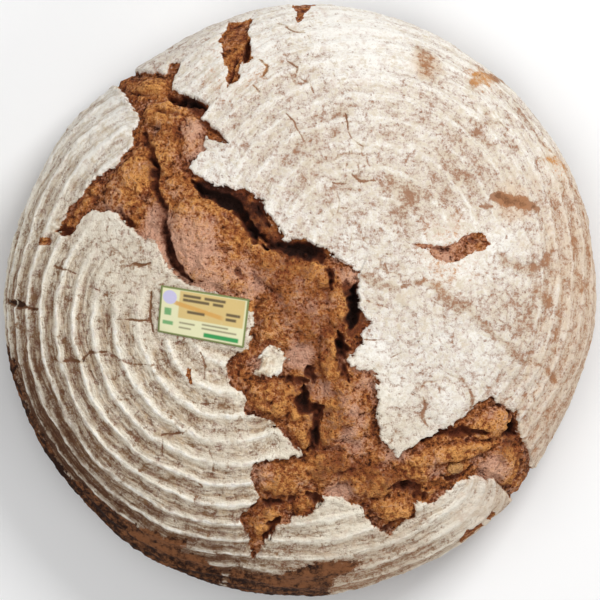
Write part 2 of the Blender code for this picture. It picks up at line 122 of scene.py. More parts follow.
# Bulges of the torn crumb: middle and half lengths in steps of the plan, turn in degrees
# anticlockwise from x, and height in millimetres
LOBES = (
    (-88, 45, 68, 34, -62, 5.2),
    (-38, 42, 60, 17, -45, 4.4),
    (10, 30, 30, 18, -5, 3.4),
    (-10, -15, 42, 32, 20, 3.0),
    (37, 0, 12, 26, 0, 2.8),
    (46, 30, 14, 9, -60, 2.6),
    (28, -58, 10, 30, 5, 3.4),
    (48, -100, 26, 40, 10, 4.0),
    (64, -72, 20, 11, -20, 3.0),
    (-30, -95, 26, 22, 0, 3.6),
    (0, -128, 14, 26, 15, 3.0),
    (30, -128, 14, 16, 0, 2.8),
    (-20, -172, 30, 22, 0, 3.0),
    (28, -166, 26, 20, 0, 3.0),
    (68, -180, 26, 17, -15, 3.2),
    (92, -206, 26, 14, -10, 3.4),
    (150, -150, 55, 10, 5, 3.4),
    (192, -120, 30, 17, 20, 4.4),
    (202, -166, 24, 26, 0, 3.4),
    (118, -164, 20, 14, 0, 2.6),
    (-36, -218, 18, 18, 0, 2.4),
    (-146, 216, 24, 12, 0, 3.4),
    (-136, 188, 26, 16, 0, 3.2),
    (-134, 158, 16, 26, 0, 3.0),
    (-172, 118, 34, 24, 55, 3.8),
    (-110, 164, 14, 26, 0, 2.6),
    (-216, 106, 26, 10, 50, 2.0),
)
LOBES_JOINED = 0.3  # share of the lower bulge that is added where two meet
CRUMB_AT_EDGE = 0.35  # share of the crumb's relief at the edge of the tear
CRUMB_WARP = (7.0, 2.0)  # size and height of the noise that bends the net of lumps
# Lumps and grain of the crumb between and on the bulges: size and height
CRUMB_LUMPS = ((11.0, 1.1), (5.0, 0.7))
CRUMB_GRAIN = ((3.2, 0.7), (1.9, 0.7))
FISSURES = ((13.0, 1.4), (7.0, 0.8))  # size of their net and depth

# Clefts: route in steps of the plan, then width and depth in millimetres
CLEFTS = (
    (((-135, 207), (-114, 201), (-95, 196)), 8.8, 5.5),
    (((-99, 200), (-88, 174), (-72, 158)), 3.6, 2.5),
    (((-112, 124), (-97, 112), (-80, 105), (-66, 95), (-57, 78), (-46, 62), (-34, 54)), 5.6, 5.0),
    (((-44, 94), (-34, 76)), 3.0, 1.6),
    (((-44, 66), (-15, 54), (5, 52), (22, 44), (30, 30), (28, 14)), 7.7, 4.5),
    (((52, 18), (50, -5), (50, -26)), 9.0, 6.5),
    (((38, -30), (41, -45), (38, -62), (46, -78)), 7.0, 5.5),
    (((-148, 148), (-144, 118), (-135, 93), (-134, 62), (-124, 37), (-108, 19)), 5.2, 3.6),
    (((0, -82), (2, -102), (24, -106)), 6.0, 4.0),
    (((24, -104), (15, -122), (9, -147)), 6.6, 4.0),
    (((-22, -72), (-8, -78), (6, -76)), 4.4, 2.5),
    (((84, -182), (108, -183), (122, -199)), 6.6, 4.5),
    (((208, -106), (214, -128), (202, -134)), 8.8, 6.0),
    (((118, -136), (146, -130), (186, -129)), 5.0, 3.0),
    (((96, -218), (84, -230)), 6.6, 3.5),
    (((-24, -214), (-36, -238)), 7.7, 4.0),
    (((-40, -196), (-22, -199)), 4.4, 3.0),
    (((8, -190), (20, -200)), 5.5, 3.0),
    (((-15, -198), (-6, -196)), 4.4, 2.5),
    (((8, -64), (12, -80)), 5.5, 3.0),
    (((-170, 210), (-158, 205)), 5.5, 2.5),
    (((-157, 172), (-148, 140)), 6.6, 2.5),
    (((-182, 92), (-164, 62)), 5.0, 2.0),
    (((-148, 190), (-118, 188)), 4.4, 1.8),
    (((-64, 34), (-56, 22)), 4.4, 2.0),
    (((172, -162), (160, -173), (144, -175)), 5.0, 2.5),
    (((-248, 74), (-232, 72)), 6.6, 2.5),
    (((-214, 108), (-204, 104)), 5.5, 2.0),
    (((-53, 266), (-54, 250), (-60, 241)), 5.0, 3.5),
    (((-66, 247), (-68, 230), (-75, 214)), 3.3, 2.5),
    (((128, 53), (148, 53)), 2.8, 1.2),
    (((166, 63), (176, 59)), 2.8, 1.2),
)
# Clefts are darkened by their depth as painted shade, near black at the deepest as painted shadow
CLEFT_DARK = 6.0  # depth at which a cleft is at its darkest
# Bands of painted shade in the crumb beside the clefts and under the plates' edges, partly darker crumb:
# route, width in millimetres and strength
SHADED_CRUMB_BANDS = (
    (((-100, 118), (-76, 112), (-56, 98), (-44, 78), (-28, 60)), 17.0, 0.75),
    (((-30, 56), (0, 56), (24, 48)), 11.0, 0.60),
    (((46, 20), (52, -8), (48, -34)), 12.0, 0.55),
    (((10, -170), (50, -168), (96, -176)), 20.0, 0.26),
    (((-58, -226), (-40, -204), (-16, -190)), 12.0, 0.25),
    (((-148, 150), (-140, 100), (-132, 50)), 9.0, 0.25),
    (((-120, 206), (-98, 190), (-90, 166)), 9.0, 0.50),
    (((196, -160), (210, -140), (214, -116)), 12.0, 0.35),
    (((4, -84), (14, -120), (8, -150)), 11.0, 0.30),
    (((-44, 44), (-4, 22), (26, -40), (16, -100), (40, -160)), 46.0, 0.17),
)

# Small tears through the plates, as outlines in steps of the plan, with their depth
SMALL_TEARS = (
    (((-82, 266), (-72, 279), (-47, 285), (-54, 270), (-50, 258), (-49, 241), (-62, 238),
      (-63, 221), (-76, 211), (-72, 218), (-77, 241)), 2.2),
    (((105, 59), (140, 58), (157, 61), (168, 71), (176, 71), (193, 57), (173, 50), (150, 40),
      (137, 41), (126, 52)), 1.4),
    (((-9, 300), (14, 300), (2, 284), (-4, 279)), 0.6),
    (((155, -238), (165, -226), (181, -221), (186, -228), (168, -243)), 1.2),
    (((187, -216), (191, -209), (196, -216), (190, -221)), 1.0),
    (((-263, 64), (-252, 65), (-251, 57), (-263, 58)), 1.0),
    (((-113, -65), (-108, -65), (-107, -84), (-112, -82)), 0.4),
)
# Stretches of the rim that the flour never reached, baked dark
BARE_RIM = (
    ((-236, -174), (-214, -186), (-197, -201), (-180, -219), (-148, -227), (-116, -239),
     (-116, -243), (-122, -247), (-96, -256), (-80, -268), (-95, -330), (-270, -230)),
    ((-296, -36), (-286, -62), (-276, -98), (-257, -138), (-232, -176), (-270, -230), (-340, -60)),
    ((-70, -266), (-44, -273), (-24, -271), (4, -264), (13, -259), (60, -258), (30, -277),
     (24, -330), (-80, -330)),
)

# Cracks in the plates: route in steps of the plan, then width and depth in millimetres
CRACKS = (
    (((45, 187), (47, 171), (51, 162), (60, 155)), 1.4, 0.7),
    (((-16, 188), (-7, 179), (-3, 169), (2, 160)), 1.0, 0.4),
    (((50, 127), (58, 120), (74, 121)), 1.1, 0.4),
    (((30, 119), (45, 118)), 1.1, 0.5),
    (((-2, 224), (8, 218), (12, 209)), 1.1, 0.4),
    (((-14, 241), (-5, 235), (-6, 226)), 1.2, 0.5),
    (((-42, 244), (-33, 235), (-38, 224)), 1.4, 0.5),
    (((-48, 216), (-42, 207)), 1.1, 0.4),
    (((-24, 280), (-10, 273), (5, 270)), 1.5, 0.5),
    (((70, 46), (82, 40), (84, 30), (106, 27)), 0.9, 0.3),
    (((-292, 6), (-282, -4), (-264, -6)), 3.4, 2.2),
    (((-248, -58), (-230, -57), (-217, -59), (-209, -49), (-196, -50)), 2.8, 1.8),
    (((-247, 38), (-237, 33), (-224, 28)), 1.2, 0.5),
    (((-168, 38), (-149, 38)), 1.6, 0.8),
    (((-186, 36), (-168, 36)), 1.0, 0.3),
    (((-207, 16), (-192, 6), (-188, -3)), 1.0, 0.4),
    (((-184, -17), (-148, -19)), 1.1, 0.5),
    (((-149, 14), (-150, -16), (-146, -30)), 1.5, 0.9),
    (((-140, -132), (-118, -131), (-106, -120)), 1.2, 0.5),
    (((-138, -136), (-138, -153)), 1.1, 0.4),
    (((-120, -91), (-106, -100), (-84, -100), (-60, -107)), 1.1, 0.4),
    (((-200, -48), (-170, -60), (-140, -62)), 0.9, 0.3),
    (((-91, -146), (-86, -160), (-88, -174)), 1.3, 0.4),
    (((-100, -50), (-96, -62), (-97, -76)), 1.5, 0.5),
    (((-120, -172), (-104, -176), (-98, -186)), 1.1, 0.4),
    (((118, -88), (122, -80), (134, -77)), 1.8, 0.34),
    (((143, -71), (158, -76), (167, -85), (170, -97), (168, -108)), 2.3, 0.36),
    (((121, -94), (122, -105), (119, -114), (125, -124)), 1.9, 0.36),
    (((62, -37), (86, -37)), 1.0, 0.4),
    (((89, -54), (100, -49)), 1.0, 0.3),
    (((64, 2), (84, -4)), 1.0, 0.3),
    (((192, 107), (208, 102), (234, 96)), 6.5, 0.60),
    (((176, 96), (192, 94)), 1.6, 0.4),
)
CRACK_DEPTH = 0.6  # of a crack of strength 1
# A net of fine cracks: size of its cells, how much it is bent, its depth, and the directions
# between which it lies with how softly it ends
NET_CELL = 8.0
NET_WARP = (5.0, 2.6)
NET_DEPTH = 0.25
NET_BETWEEN = (-40.0, 120.0, 30.0)

# Bands on the plates where the flour is rubbed off: route, width in millimetres and loss
RUBBED = (
    (((110, 20), (138, 12), (148, 0), (166, -9), (180, -22), (191, -34)), 6.0, 0.55),
    (((188, 108), (204, 104), (222, 99), (242, 92)), 7.5, 1.4),
    (((168, 218), (182, 223), (200, 222)), 9.0, 1.0),
    (((191, -34), (204, -46), (218, -57), (236, -52)), 5.0, 0.48),
    (((228, -56), (244, -62), (256, -80)), 4.5, 0.62),
    (((192, 54), (200, 42), (215, 35), (232, 34), (246, 42), (250, 60)), 5.5, 0.60),
    (((146, 252), (180, 234), (200, 214), (224, 186), (240, 160), (256, 144)), 3.0, 0.50),
    (((256, 144), (270, 122), (280, 96), (286, 60)), 3.0, 0.45),
    (((116, 254), (126, 244), (122, 232), (132, 222)), 9.5, 0.65),
    (((170, 178), (188, 180), (210, 177)), 3.0, 0.40),
    (((154, 161), (178, 160), (190, 156), (208, 159), (226, 155)), 2.6, 0.40),
    (((232, 145), (240, 141), (256, 142), (266, 132)), 7.0, 0.60),
    (((176, 97), (192, 94)), 4.0, 0.50),
    (((271, 86), (272, 50), (280, 10)), 4.5, 0.40),
    (((285, 70), (288, 30)), 3.5, 0.35),
    (((262, 40), (262, 20), (258, -20), (250, -60)), 3.0, 0.30),
    (((232, 14), (250, 0)), 9.0, 0.58),
    (((100, 112), (106, 100), (104, 88)), 7.0, 0.50),
    (((84, 128), (104, 112), (130, 104)), 8.0, 0.45),
    (((38, 197), (46, 184)), 5.0, 0.40),
    (((150, 132), (164, 124)), 9.0, 0.25),
    (((60, 30), (88, 14), (110, 20)), 5.0, 0.45),
    (((-116, -105), (-100, -118)), 7.0, 0.40),
    (((-150, -60), (-136, -72)), 8.0, 0.30),
    (((-224, -30), (-222, -52)), 5.0, 0.35),
    (((-176, -66), (-168, -84)), 6.0, 0.35),
    (((130, -136), (150, -122)), 3.0, 0.30),
)

# Places on the plates where the flour is thin: middle on the plan, radius and loss
THIN_FLOUR = (
    (105, 103, 30, 0.20), (130, 100, 60, 0.12), (168, 140, 60, 0.12), (215, -5, 44, 0.22),
    (150, 0, 40, 0.18), (246, 30, 30, 0.20), (224, -28, 26, 0.14), (36, 200, 24, 0.12),
    (70, 122, 40, 0.14), (20, 110, 50, 0.10), (20, 160, 60, 0.08), (130, 232, 22, 0.16),
    (224, 36, 18, 0.20), (250, -110, 24, 0.20), (70, 2, 20, 0.20), (-226, -60, 40, 0.10),
    (-168, 52, 30, 0.14), (-120, -52, 34, 0.10), (272, 60, 22, 0.10), (279, 20, 24, 0.10),
)
# Places where it lies thick; the two at the north rim are partly painted light on the lit side
THICK_FLOUR = (
    (-28, -60, 16, 0.9), (74, -48, 26, 0.30), (90, -84, 30, 0.25), (143, -98, 22, 0.25),
    (-80, 130, 40, 0.20), (-12, 90, 40, 0.12), (60, 262, 90, 0.35), (-60, 250, 50, 0.20),
    (190, 190, 40, 0.12), (-110, -150, 40, 0.12), (40, -220, 40, 0.25), (200, 60, 30, 0.10),
    (-60, -90, 24, 0.15), (165, -210, 60, 0.50), (60, -232, 60, 0.15), (-180, 10, 50, 0.12),
    (-205, 150, 50, 0.15),
)
# Dusted places in the tear: middle and radius on the plan, and how much flour lies there
DUSTED = (
    (-112, 60, 46, 1.0), (-104, 15, 44, 0.9), (-84, 40, 30, 0.5), (-150, 52, 40, 1.5),
    (-142, 84, 22, 1.1), (-108, 172, 20, 1.0), (-104, 150, 20, 1.0), (-2, -54, 22, 1.3),
    (46, 26, 16, 0.9), (8, 2, 40, 0.4), (16, -88, 20, 1.0), (38, -190, 22, 0.9), (50, -128, 34, 0.6),
    (192, -165, 32, 0.9), (130, -162, 20, 0.6), (94, -146, 24, 0.8), (66, -72, 24, 0.8),
    (-50, 18, 34, 0.7), (-44, -166, 24, 0.6), (200, -110, 24, 0.5), (-186, 100, 24, 0.5),
    (-36, -62, 20, 0.8), (-20, -30, 30, 0.3), (48, -100, 24, 0.5), (146, 54, 46, 0.8),
)

# Places where the crust under the flour is more orange: middle on the plan and radius
AMBER = (
    (180, 224, 32), (252, 140, 24), (262, 132, 18), (150, 50, 50),
    (2, 292, 24), (-64, 240, 60), (175, -240, 30),
)

# Places where it is more tan
TOASTED = ((213, 100, 34), (124, 238, 28))
# Places where the bare crust is charred
CHARRED = ((-192, -214, 26), (-117, -264, 26), (-85, -274, 22), (-52, -278, 18), (-244, -166, 40))

# Stretches of the crust with another colour or thin flour: the directions between which they lie
# with how softly they end, the distances from the top between which they come up, and how much
UMBER_BETWEEN = (150.0, 312.0, 50.0)
# This stretch is painted shade on the south-west side, which faces away from the lamps, over crust browned
# towards the rim
BURNT_AND_SHADED = ((190.0, 272.0, 40.0), (97.0, 180.0), 1.0)
TOASTED_EAST = ((-56.0, 26.0, 36.0), (96.0, 166.0), 1.0)
TOASTED_SOUTH = ((262.0, 304.0, 30.0), (96.0, 156.0), 0.5)
THIN_INSIDE = ((176.0, 300.0, 50.0), (80.0, 150.0), 0.26)
THIN_OUTSIDE = ((176.0, 300.0, 50.0), (132.0, 172.0), 0.34)
# More flour to the back, partly painted light on the lit north side: its direction, how far it spreads, its
# distances and how much
FLOUR_AND_LIGHT_BACK = (95.0, 40.0, (95.0, 165.0), 0.24)
FLOUR_PATCHES = ((26.0, 0.10), (9.0, 0.08))

BLISTERS = (((143, -100), 11.0, 1.2), ((223, 65), 14.0, 1.6), ((232, -72), 6.0, 0.7))

# Label: corners on the plan, clockwise from its upper left, and sizes in millimetres
LABEL_CORNERS = ((-138, 17), (-51, 3), (-57, -45), (-142, -29))
LABEL_THICKNESS = 0.3
LABEL_LIFT = 0.95
SEAT_LIFT = 0.6
SEAT_MARGIN = 1.2
LABEL_CURL = 0.7
LABEL_TUCK = 0.25  # how much lower its lower left corner lies
LABEL_WAVE = (12.0, 0.10)
LABEL_COLUMNS = 90
LABEL_ROWS = 50

# Walnut piece: middle on the plan, half lengths and height of its middle, in millimetres
WALNUT_AT = (153, -165)
WALNUT_HALF_LENGTHS = (4.6, 3.3, 2.7)
WALNUT_TURN = math.radians(12)
WALNUT_LIFT = 0.6
WALNUT_FOLDS = 0.75

# Unevenness: size across and height of the noise, in millimetres
EDGE_RAGGED = ((9.0, 0.8), (4.0, 0.5), (1.9, 0.35))
EDGE_CHIPS = ((5.5, 1.0), (2.6, 0.7))
WANDER = ((11.0, 1.6), (5.0, 1.2), (2.2, 0.7))
BROKEN = ((10.0, 0.45), (4.5, 0.35), (2.0, 0.3))
SWELL = ((60.0, 1.2), (18.0, 0.5))
PLATE_GRAIN = ((7.0, 0.30), (3.0, 0.24), (1.5, 0.15))
BASE_DIMPLES = (6.0, 0.35)

BASE_FADE = 25.0  # millimetres of crust over which all relief fades towards the base

# Flour ends a little below the widest ring
FLOUR_END = 9.0
FLOUR_END_RUN = 14.0

PROFILE_STEPS = 400
SEGMENTS = 1500
RING_STEP = 0.55  # millimetres between the rings of points down the crust
BASE_RINGS = 40
LOAF_TRIANGLES = 197000
# Stand-out of the crust from its surroundings: painted light on raised crumb and painted shade in its
# hollows, and a little more flour on raised places
HOLLOW_PASSES = {"standing": 16, "raised": 260}  # of the smoothing that each is measured against

NOISE_SEED = 5

# Camera and light, in metres
CAMERA_DISTANCE = 6.0
FRAME_WIDTH = 0.3004
SENSOR = 36.0
FLOOR_RADIUS = 12.0
DAYLIGHT = 0.27
LAMP_DISTANCE = 1.6
# Lamps: name, direction, height over the floor in degrees, size and power in watts
LAMPS = (
    ("key", 50.0, 46.0, 0.6, 14.5),
    ("fill", 190.0, 72.0, 1.4, 10.0),
    ("low fill", -45.0, 35.0, 0.8, 4.2),
)


def smooth(low, high, value):
    """0 below low, 1 above high and a smooth ramp between."""
    t = np.clip((value - low) / (high - low), 0.0, 1.0)
    return t * t * (3.0 - 2.0 * t)


def lattice(column, row, seed):
    """A repeatable number from 0 to 1 for each point of a square lattice."""
    key = column.astype(np.int64) * 374761393 + row.astype(np.int64) * 668265263 + seed * 982451653
    key = (key ^ (key >> 13)) * 1274126177
    return ((key ^ (key >> 16)) & 0xFFFFFF) / float(0xFFFFFF)


def noise(u, v, size, seed):
    """Smooth noise from -1 to 1 whose features are about size across."""
    column, row = np.floor(u / size), np.floor(v / size)
    a, b = u / size - column, v / size - row
    a, b = smooth(0.0, 1.0, a), smooth(0.0, 1.0, b)
    seed += NOISE_SEED
    low = lattice(column, row, seed) * (1.0 - a) + lattice(column + 1, row, seed) * a
    high = lattice(column, row + 1, seed) * (1.0 - a) + lattice(column + 1, row + 1, seed) * a
    return 2.0 * (low * (1.0 - b) + high * b) - 1.0


def layers(u, v, sizes, seed):
    """A sum of noises, each a size across and a height."""
    return sum(height * noise(u, v, size, seed + i) for i, (size, height) in enumerate(sizes))


def warped(u, v, size, height, seed):
    """Points moved to and fro by noises of a size and height."""
    return u + height * noise(u, v, size, seed), v + height * noise(u, v, size, seed + 1)


def cells(u, v, size, seed):
    """Distances to the nearest and the second nearest of points strewn one to a cell, and a
    number from 0 to 1 that is the nearest one's own."""
    column, row = np.floor(u / size), np.floor(v / size)
    first, second, own = np.full(u.shape, 9.0), np.full(u.shape, 9.0), np.zeros(u.shape)
    for i in (-1, 0, 1):
        for j in (-1, 0, 1):
            x, y = column + i, row + j
            middle_u, middle_v = x + lattice(x, y, seed + 11), y + lattice(x, y, seed + 12)
            away = np.hypot(u / size - middle_u, v / size - middle_v)
            own = np.where(away < first, lattice(x, y, seed + 13), own)
            second = np.minimum(second, np.maximum(first, away))
            first = np.minimum(first, away)
    return first, second, own


def chips(u, v, size, seed):
    """A number from -1 to 1 for each cell of an uneven net, the same all over the cell."""
    return 2.0 * cells(u, v, size, seed)[2] - 1.0


def lumps(u, v, size, seed):
    """Rounded lumps from about 0 in the creases to 1 on top."""
    return np.clip(1.0 - 1.4 * cells(u, v, size, seed)[0] ** 2, 0.0, 1.0)


# The loaf's smooth form


def profile():
    """Distance along the crust from the top, radius and height, down to the edge of the base."""
    turn = np.linspace(0.0, math.pi / 2, PROFILE_STEPS)
    radius = MEAN_RADIUS * np.sin(turn)
    height = WIDEST_AT + (HEIGHT - WIDEST_AT) * np.cos(turn)
    under = turn[1:]
    radius = np.append(radius, BASE_RADIUS + (MEAN_RADIUS - BASE_RADIUS) * np.cos(under))
    height = np.append(height, WIDEST_AT * (1.0 - np.sin(under)))
    steps = np.hypot(np.diff(radius), np.diff(height))
    return np.append(0.0, np.cumsum(steps)), radius, height


SKIN, SKIN_RADIUS, SKIN_HEIGHT = profile()
WIDEST_SKIN = SKIN[PROFILE_STEPS - 1]
BASE_SKIN = SKIN[-1]


def rim_factor(angle):
    """How much wider than the mean the loaf is in a direction."""
    place = np.mod(angle / (2 * math.pi), 1.0) * len(RIM_RADII)
    index = np.floor(place).astype(int) % len(RIM_RADII)
    share = smooth(0.0, 1.0, place - np.floor(place))
    radii = np.array(RIM_RADII)
    return (radii[index] * (1.0 - share) + np.roll(radii, -1)[index] * share) / MEAN_RADIUS


def unrolled(x, y):
    """Points of the plan, in millimetres, on the skin plane. Past the rim they run on downwards."""
    angle = np.arctan2(y, x)
    radius = np.hypot(x, y) / rim_factor(angle)
    inside = np.interp(radius, SKIN_RADIUS[:PROFILE_STEPS], SKIN[:PROFILE_STEPS])
    skin = inside + np.maximum(radius - MEAN_RADIUS, 0.0)
    return skin * np.cos(angle), skin * np.sin(angle)


def skin_points(route):
    """A route in steps of the plan as an array of points of the skin plane."""
    plan = np.array(route, float) * GRID
    return np.stack(unrolled(plan[:, 0], plan[:, 1]), axis=1)


def on_loaf(u, v, rise):
    """Points of space, in millimetres, at a rise over the smooth form."""
    angle = np.arctan2(v, u)
    skin = np.hypot(u, v)
    radius, height = np.interp(skin, SKIN, SKIN_RADIUS), np.interp(skin, SKIN, SKIN_HEIGHT)
    step = 0.5
    out = np.interp(skin + step, SKIN, SKIN_RADIUS) - np.interp(skin - step, SKIN, SKIN_RADIUS)
    down = np.interp(skin - step, SKIN, SKIN_HEIGHT) - np.interp(skin + step, SKIN, SKIN_HEIGHT)
    length = np.maximum(np.hypot(out, down), 1e-9)
    radius = radius * rim_factor(angle) + rise * down / length
    return np.stack([radius * np.cos(angle), radius * np.sin(angle), height + rise * out / length], 1)


# Distances on the skin plane


def to_segment(u, v, start, end):
    """Distance from each point to a straight piece, and how far along it the nearest place is."""
    along = end - start
    share = ((u - start[0]) * along[0] + (v - start[1]) * along[1]) / max(along @ along, 1e-9)
    share = np.clip(share, 0.0, 1.0)
    return np.hypot(u - start[0] - share * along[0], v - start[1] - share * along[1]), share


def route_distance(u, v, points):
    """Distance from each point to an open route, over how wide the route is there, from 0 to 1."""
    lengths = np.hypot(*np.diff(points, axis=0).T)
    reached = np.append(0.0, np.cumsum(lengths)) / lengths.sum()
    nearest, place = np.full(u.shape, 1e9), np.zeros(u.shape)
    for a, b, start, end in zip(points[:-1], points[1:], reached[:-1], reached[1:]):
        away, share = to_segment(u, v, a, b)
        place = np.where(away < nearest, start + share * (end - start), place)
        nearest = np.minimum(nearest, away)
    return nearest / (0.3 + 0.7 * np.sqrt(np.sin(math.pi * place)))


def outline_depth(u, v, points):
    """Distance from each point to a closed outline, positive inside it."""
    inside = np.zeros(u.shape, bool)
    nearest = np.full(u.shape, 1e9)
    for a, b in zip(points, np.roll(points, -1, axis=0)):
        nearest = np.minimum(nearest, to_segment(u, v, a, b)[0])
        crosses = (a[1] > v) != (b[1] > v)
        rise = b[1] - a[1] if b[1] != a[1] else 1e-9
        inside ^= crosses & (u < a[0] + (b[0] - a[0]) * (v - a[1]) / rise)
    return np.where(inside, nearest, -nearest)


def where_near(measure, u, v, route, margin, far):
    """A measure of a route or outline, worked out only within a margin of it."""
    points = skin_points(route)
    low, high = points.min(axis=0) - margin, points.max(axis=0) + margin
    near = (u > low[0]) & (u < high[0]) & (v > low[1]) & (v < high[1])
    result = np.full(u.shape, far)
    result[near] = measure(u[near], v[near], points)
    return result


def polar(u, v):
    """Distance from the top along the crust, and direction in degrees."""
    return np.hypot(u, v), np.degrees(np.arctan2(v, u))


def from_place(u, v, place):
    """How far right of and above a place of the plan each point lies on the skin plane."""
    ((middle_u, middle_v),) = skin_points((place,))
    return u - middle_u, v - middle_v


def spot(u, v, x, y, reach):
    """1 at a place of the plan, falling to 0 at a reach in steps of the plan."""
    return 1.0 - smooth(0.2, 1.0, np.hypot(*from_place(u, v, (x, y))) / (reach * GRID))


# Relief of the crust, in millimetres over the smooth form


def ring_count(u, v, rings):
    """How many rings out from the first one of a set a point lies."""
    out = np.hypot(u - rings.middle[0], v - rings.middle[1]) - rings.first
    if rings.tightening == 0.0:
        return out / rings.pitch
    root = np.sqrt(np.maximum(rings.pitch**2 - 4.0 * rings.tightening * out, 0.0))
    return (rings.pitch - root) / (2.0 * rings.tightening)


def between(angle, start, end, soft):
    """1 where a direction in degrees lies between two others, with soft ends."""
    middle, half = (start + end) / 2.0, (end - start) / 2.0
    away = np.abs(np.mod(angle - middle + 180.0, 360.0) - 180.0)
    return 1.0 - smooth(half - soft / 2.0, half + soft / 2.0, away)


def stretch(skin, angle, directions, distances, amount):
    """An amount in a stretch of the crust, 0 outside its directions and closer to the top."""
    return amount * between(angle, *directions) * smooth(*distances, skin)


def ring_fields(u, v):
    """Ring count, depth of the rings, flour in their hollows and distance along them."""
    angle = np.degrees(np.arctan2(v, u)) + 2.0 * noise(u, v, 30.0, 3)
    shares = [between(angle, rings.start, rings.end, SETS_MEET) for rings in RING_SETS]
    total = sum(shares)
    count, depth, flour, along = (np.zeros(u.shape) for _ in range(4))
    for rings, share in zip(RING_SETS, shares):
        share = share / total
        own = ring_count(u, v, rings)
        # The west set alone runs on in to its middle
        present = smooth(*BEFORE_FIRST, own) if rings is not WEST_RINGS else 1.0
        turn = np.degrees(np.arctan2(v - rings.middle[1], u - rings.middle[0])) - rings.facing
        count += share * (own + rings.offset)
        depth += share * rings.depth * (DEPTH_BEFORE_FIRST + (1.0 - DEPTH_BEFORE_FIRST) * present)
        flour += share * (rings.flour * present + FLOUR_BEFORE_FIRST * (1.0 - present))
        along += share * (np.mod(turn + 180.0, 360.0) - 180.0)
    count += 0.06 * noise(u, v, 16.0, 4) + 0.06 * noise(u, v, 5.0, 7)
    fade = 1.0 - smooth(WIDEST_SKIN, WIDEST_SKIN + RINGS_END, np.hypot(u, v))
    return count, depth * fade, flour, along


def spaced_rings(u, v):
    """The ring fields, with the rings faded where two sets crowd together or the crust flaked."""
    count, depth, flour, along = ring_fields(u, v)
    step = 0.5
    across, up = (ring_fields(u + a, v + b)[0] - count for a, b in ((step, 0.0), (0.0, step)))
    depth = depth * (1.0 - smooth(*CROWDED, np.hypot(across, up) / step))
    for x, y, reach, amount in RINGLESS:
        depth = depth * (1.0 - amount * spot(u, v, x, y, reach))
    return count, depth, flour, along


def ring_relief(u, v, count, depth):
    """Scallops that meet in fine raised crests, crumbled here and there."""
    crest = np.exp(-(((count - np.round(count)) / CREST_WIDTH) ** 2))
    crest *= np.clip(CREST_LEFT + layers(u, v, CREST_CRUMBLED, 75), 0.0, 1.3)
    sharp = np.clip(depth / WEST_RINGS.depth, 0.0, 1.0)
    return depth * (CREST_RISE * sharp * crest - np.abs(np.sin(math.pi * count)))


def lobe_relief(u, v):
    """Rounded bulges of crumb that meet in creases."""
    relief = np.zeros(u.shape)
    for x, y, long, wide, turn, height in LOBES:
        right, up = from_place(u, v, (x, y))
        cos, sin = math.cos(math.radians(turn)), math.sin(math.radians(turn))
        along = (right * cos + up * sin) / (long * GRID)
        across = (up * cos - right * sin) / (wide * GRID)
        dome = height * np.sqrt(np.clip(1.0 - along**2 - across**2, 0.0, 1.0))
        relief = np.maximum(relief, dome) + LOBES_JOINED * np.minimum(relief, dome)
    return relief


def crumb_relief(u, v):
    """The bulges with lumps, fissures and grain on them."""
    relief = lobe_relief(u, v)
    bent = warped(u, v, *CRUMB_WARP, 41)
    for i, (size, height) in enumerate(CRUMB_LUMPS):
        relief += height * lumps(*bent, size, 20 + 2 * i)
    for i, (size, depth) in enumerate(FISSURES):
        net = noise(*bent, size, 44 + i) / (0.12 + 0.1 * noise(u, v, 9.0, 46 + i))
        relief -= depth * np.exp(-net * net) * smooth(-0.2, 0.4, noise(u, v, 1.7 * size, 48 + i))
    return relief + layers(u, v, CRUMB_GRAIN, 72)


def strokes(u, v, lines, seed):
    """The strongest at each point of tapering strokes with ragged sides: route, width, strength."""
    result = np.zeros(u.shape)
    warp_u, warp_v = layers(u, v, WANDER, seed), layers(u, v, WANDER, seed + 9)
    broken = 1.0 + layers(u, v, BROKEN, seed + 20)
    for route, width, strength in lines:
        small = min(1.0, 0.22 + width / 7.0)
        margin = width + 3.0
        away = where_near(route_distance, u + small * warp_u, v + small * warp_v, route, margin, 1e3)
        share = np.clip(1.0 - 2.0 * away / width - 0.7 * (1.0 - broken), 0.0, 1.0)
        result = np.maximum(result, strength * np.clip(broken, 0.4, 1.2) * share * (2.0 - share))
    return result


def tear_depths(u, v):
    """Distance into the main tear, and into the small tears with how deep they are."""
    outline = EAST_EDGE + SOUTH_EAST_RIM + SOUTH_EDGE + WEST_EDGE + NORTH_WEST_EDGE + NORTH_WEST_RIM
    main = where_near(outline_depth, u, v, outline, 25.0, -25.0)
    main = np.minimum(main, -where_near(outline_depth, u, v, CRUST_ISLAND, 10.0, -10.0))
    chipped = sum(height * chips(u, v, size, 31 + i) for i, (size, height) in enumerate(EDGE_CHIPS))
    main = main + layers(u, v, EDGE_RAGGED, 1) + chipped
    small, cut = np.full(u.shape, -8.0), np.zeros(u.shape)
    ragged = 0.8 * layers(u, v, EDGE_RAGGED[1:], 15) + 0.8 * chipped
    for shape, depth in SMALL_TEARS:
        inside = where_near(outline_depth, u, v, shape, 8.0, -8.0) + ragged
        small = np.maximum(small, inside)
        cut = np.maximum(cut, depth * smooth(-0.6, 1.4, inside))
    return main, small, cut


def blister_relief(u, v):
    """Low round blisters on the plates."""
    relief = np.zeros(u.shape)
    for middle, radius, height in BLISTERS:
        away = np.hypot(*from_place(u, v, middle)) / radius
        relief += height * np.sqrt(np.clip(1.0 - away**2, 0.0, 1.0))
    return relief


def crackle(u, v):
    """A net of fine cracks, 1 in the middle of a crack, broken into short stretches."""
    first, second, own = cells(*warped(u, v, *NET_WARP, 51), NET_CELL, 53)
    strength = smooth(-0.1, 0.5, noise(u, v, 24.0, 54)) * smooth(-0.2, 0.4, noise(u, v, 4.0, 55))
    return strength * (1.0 - smooth(0.0, 0.12, second - first))


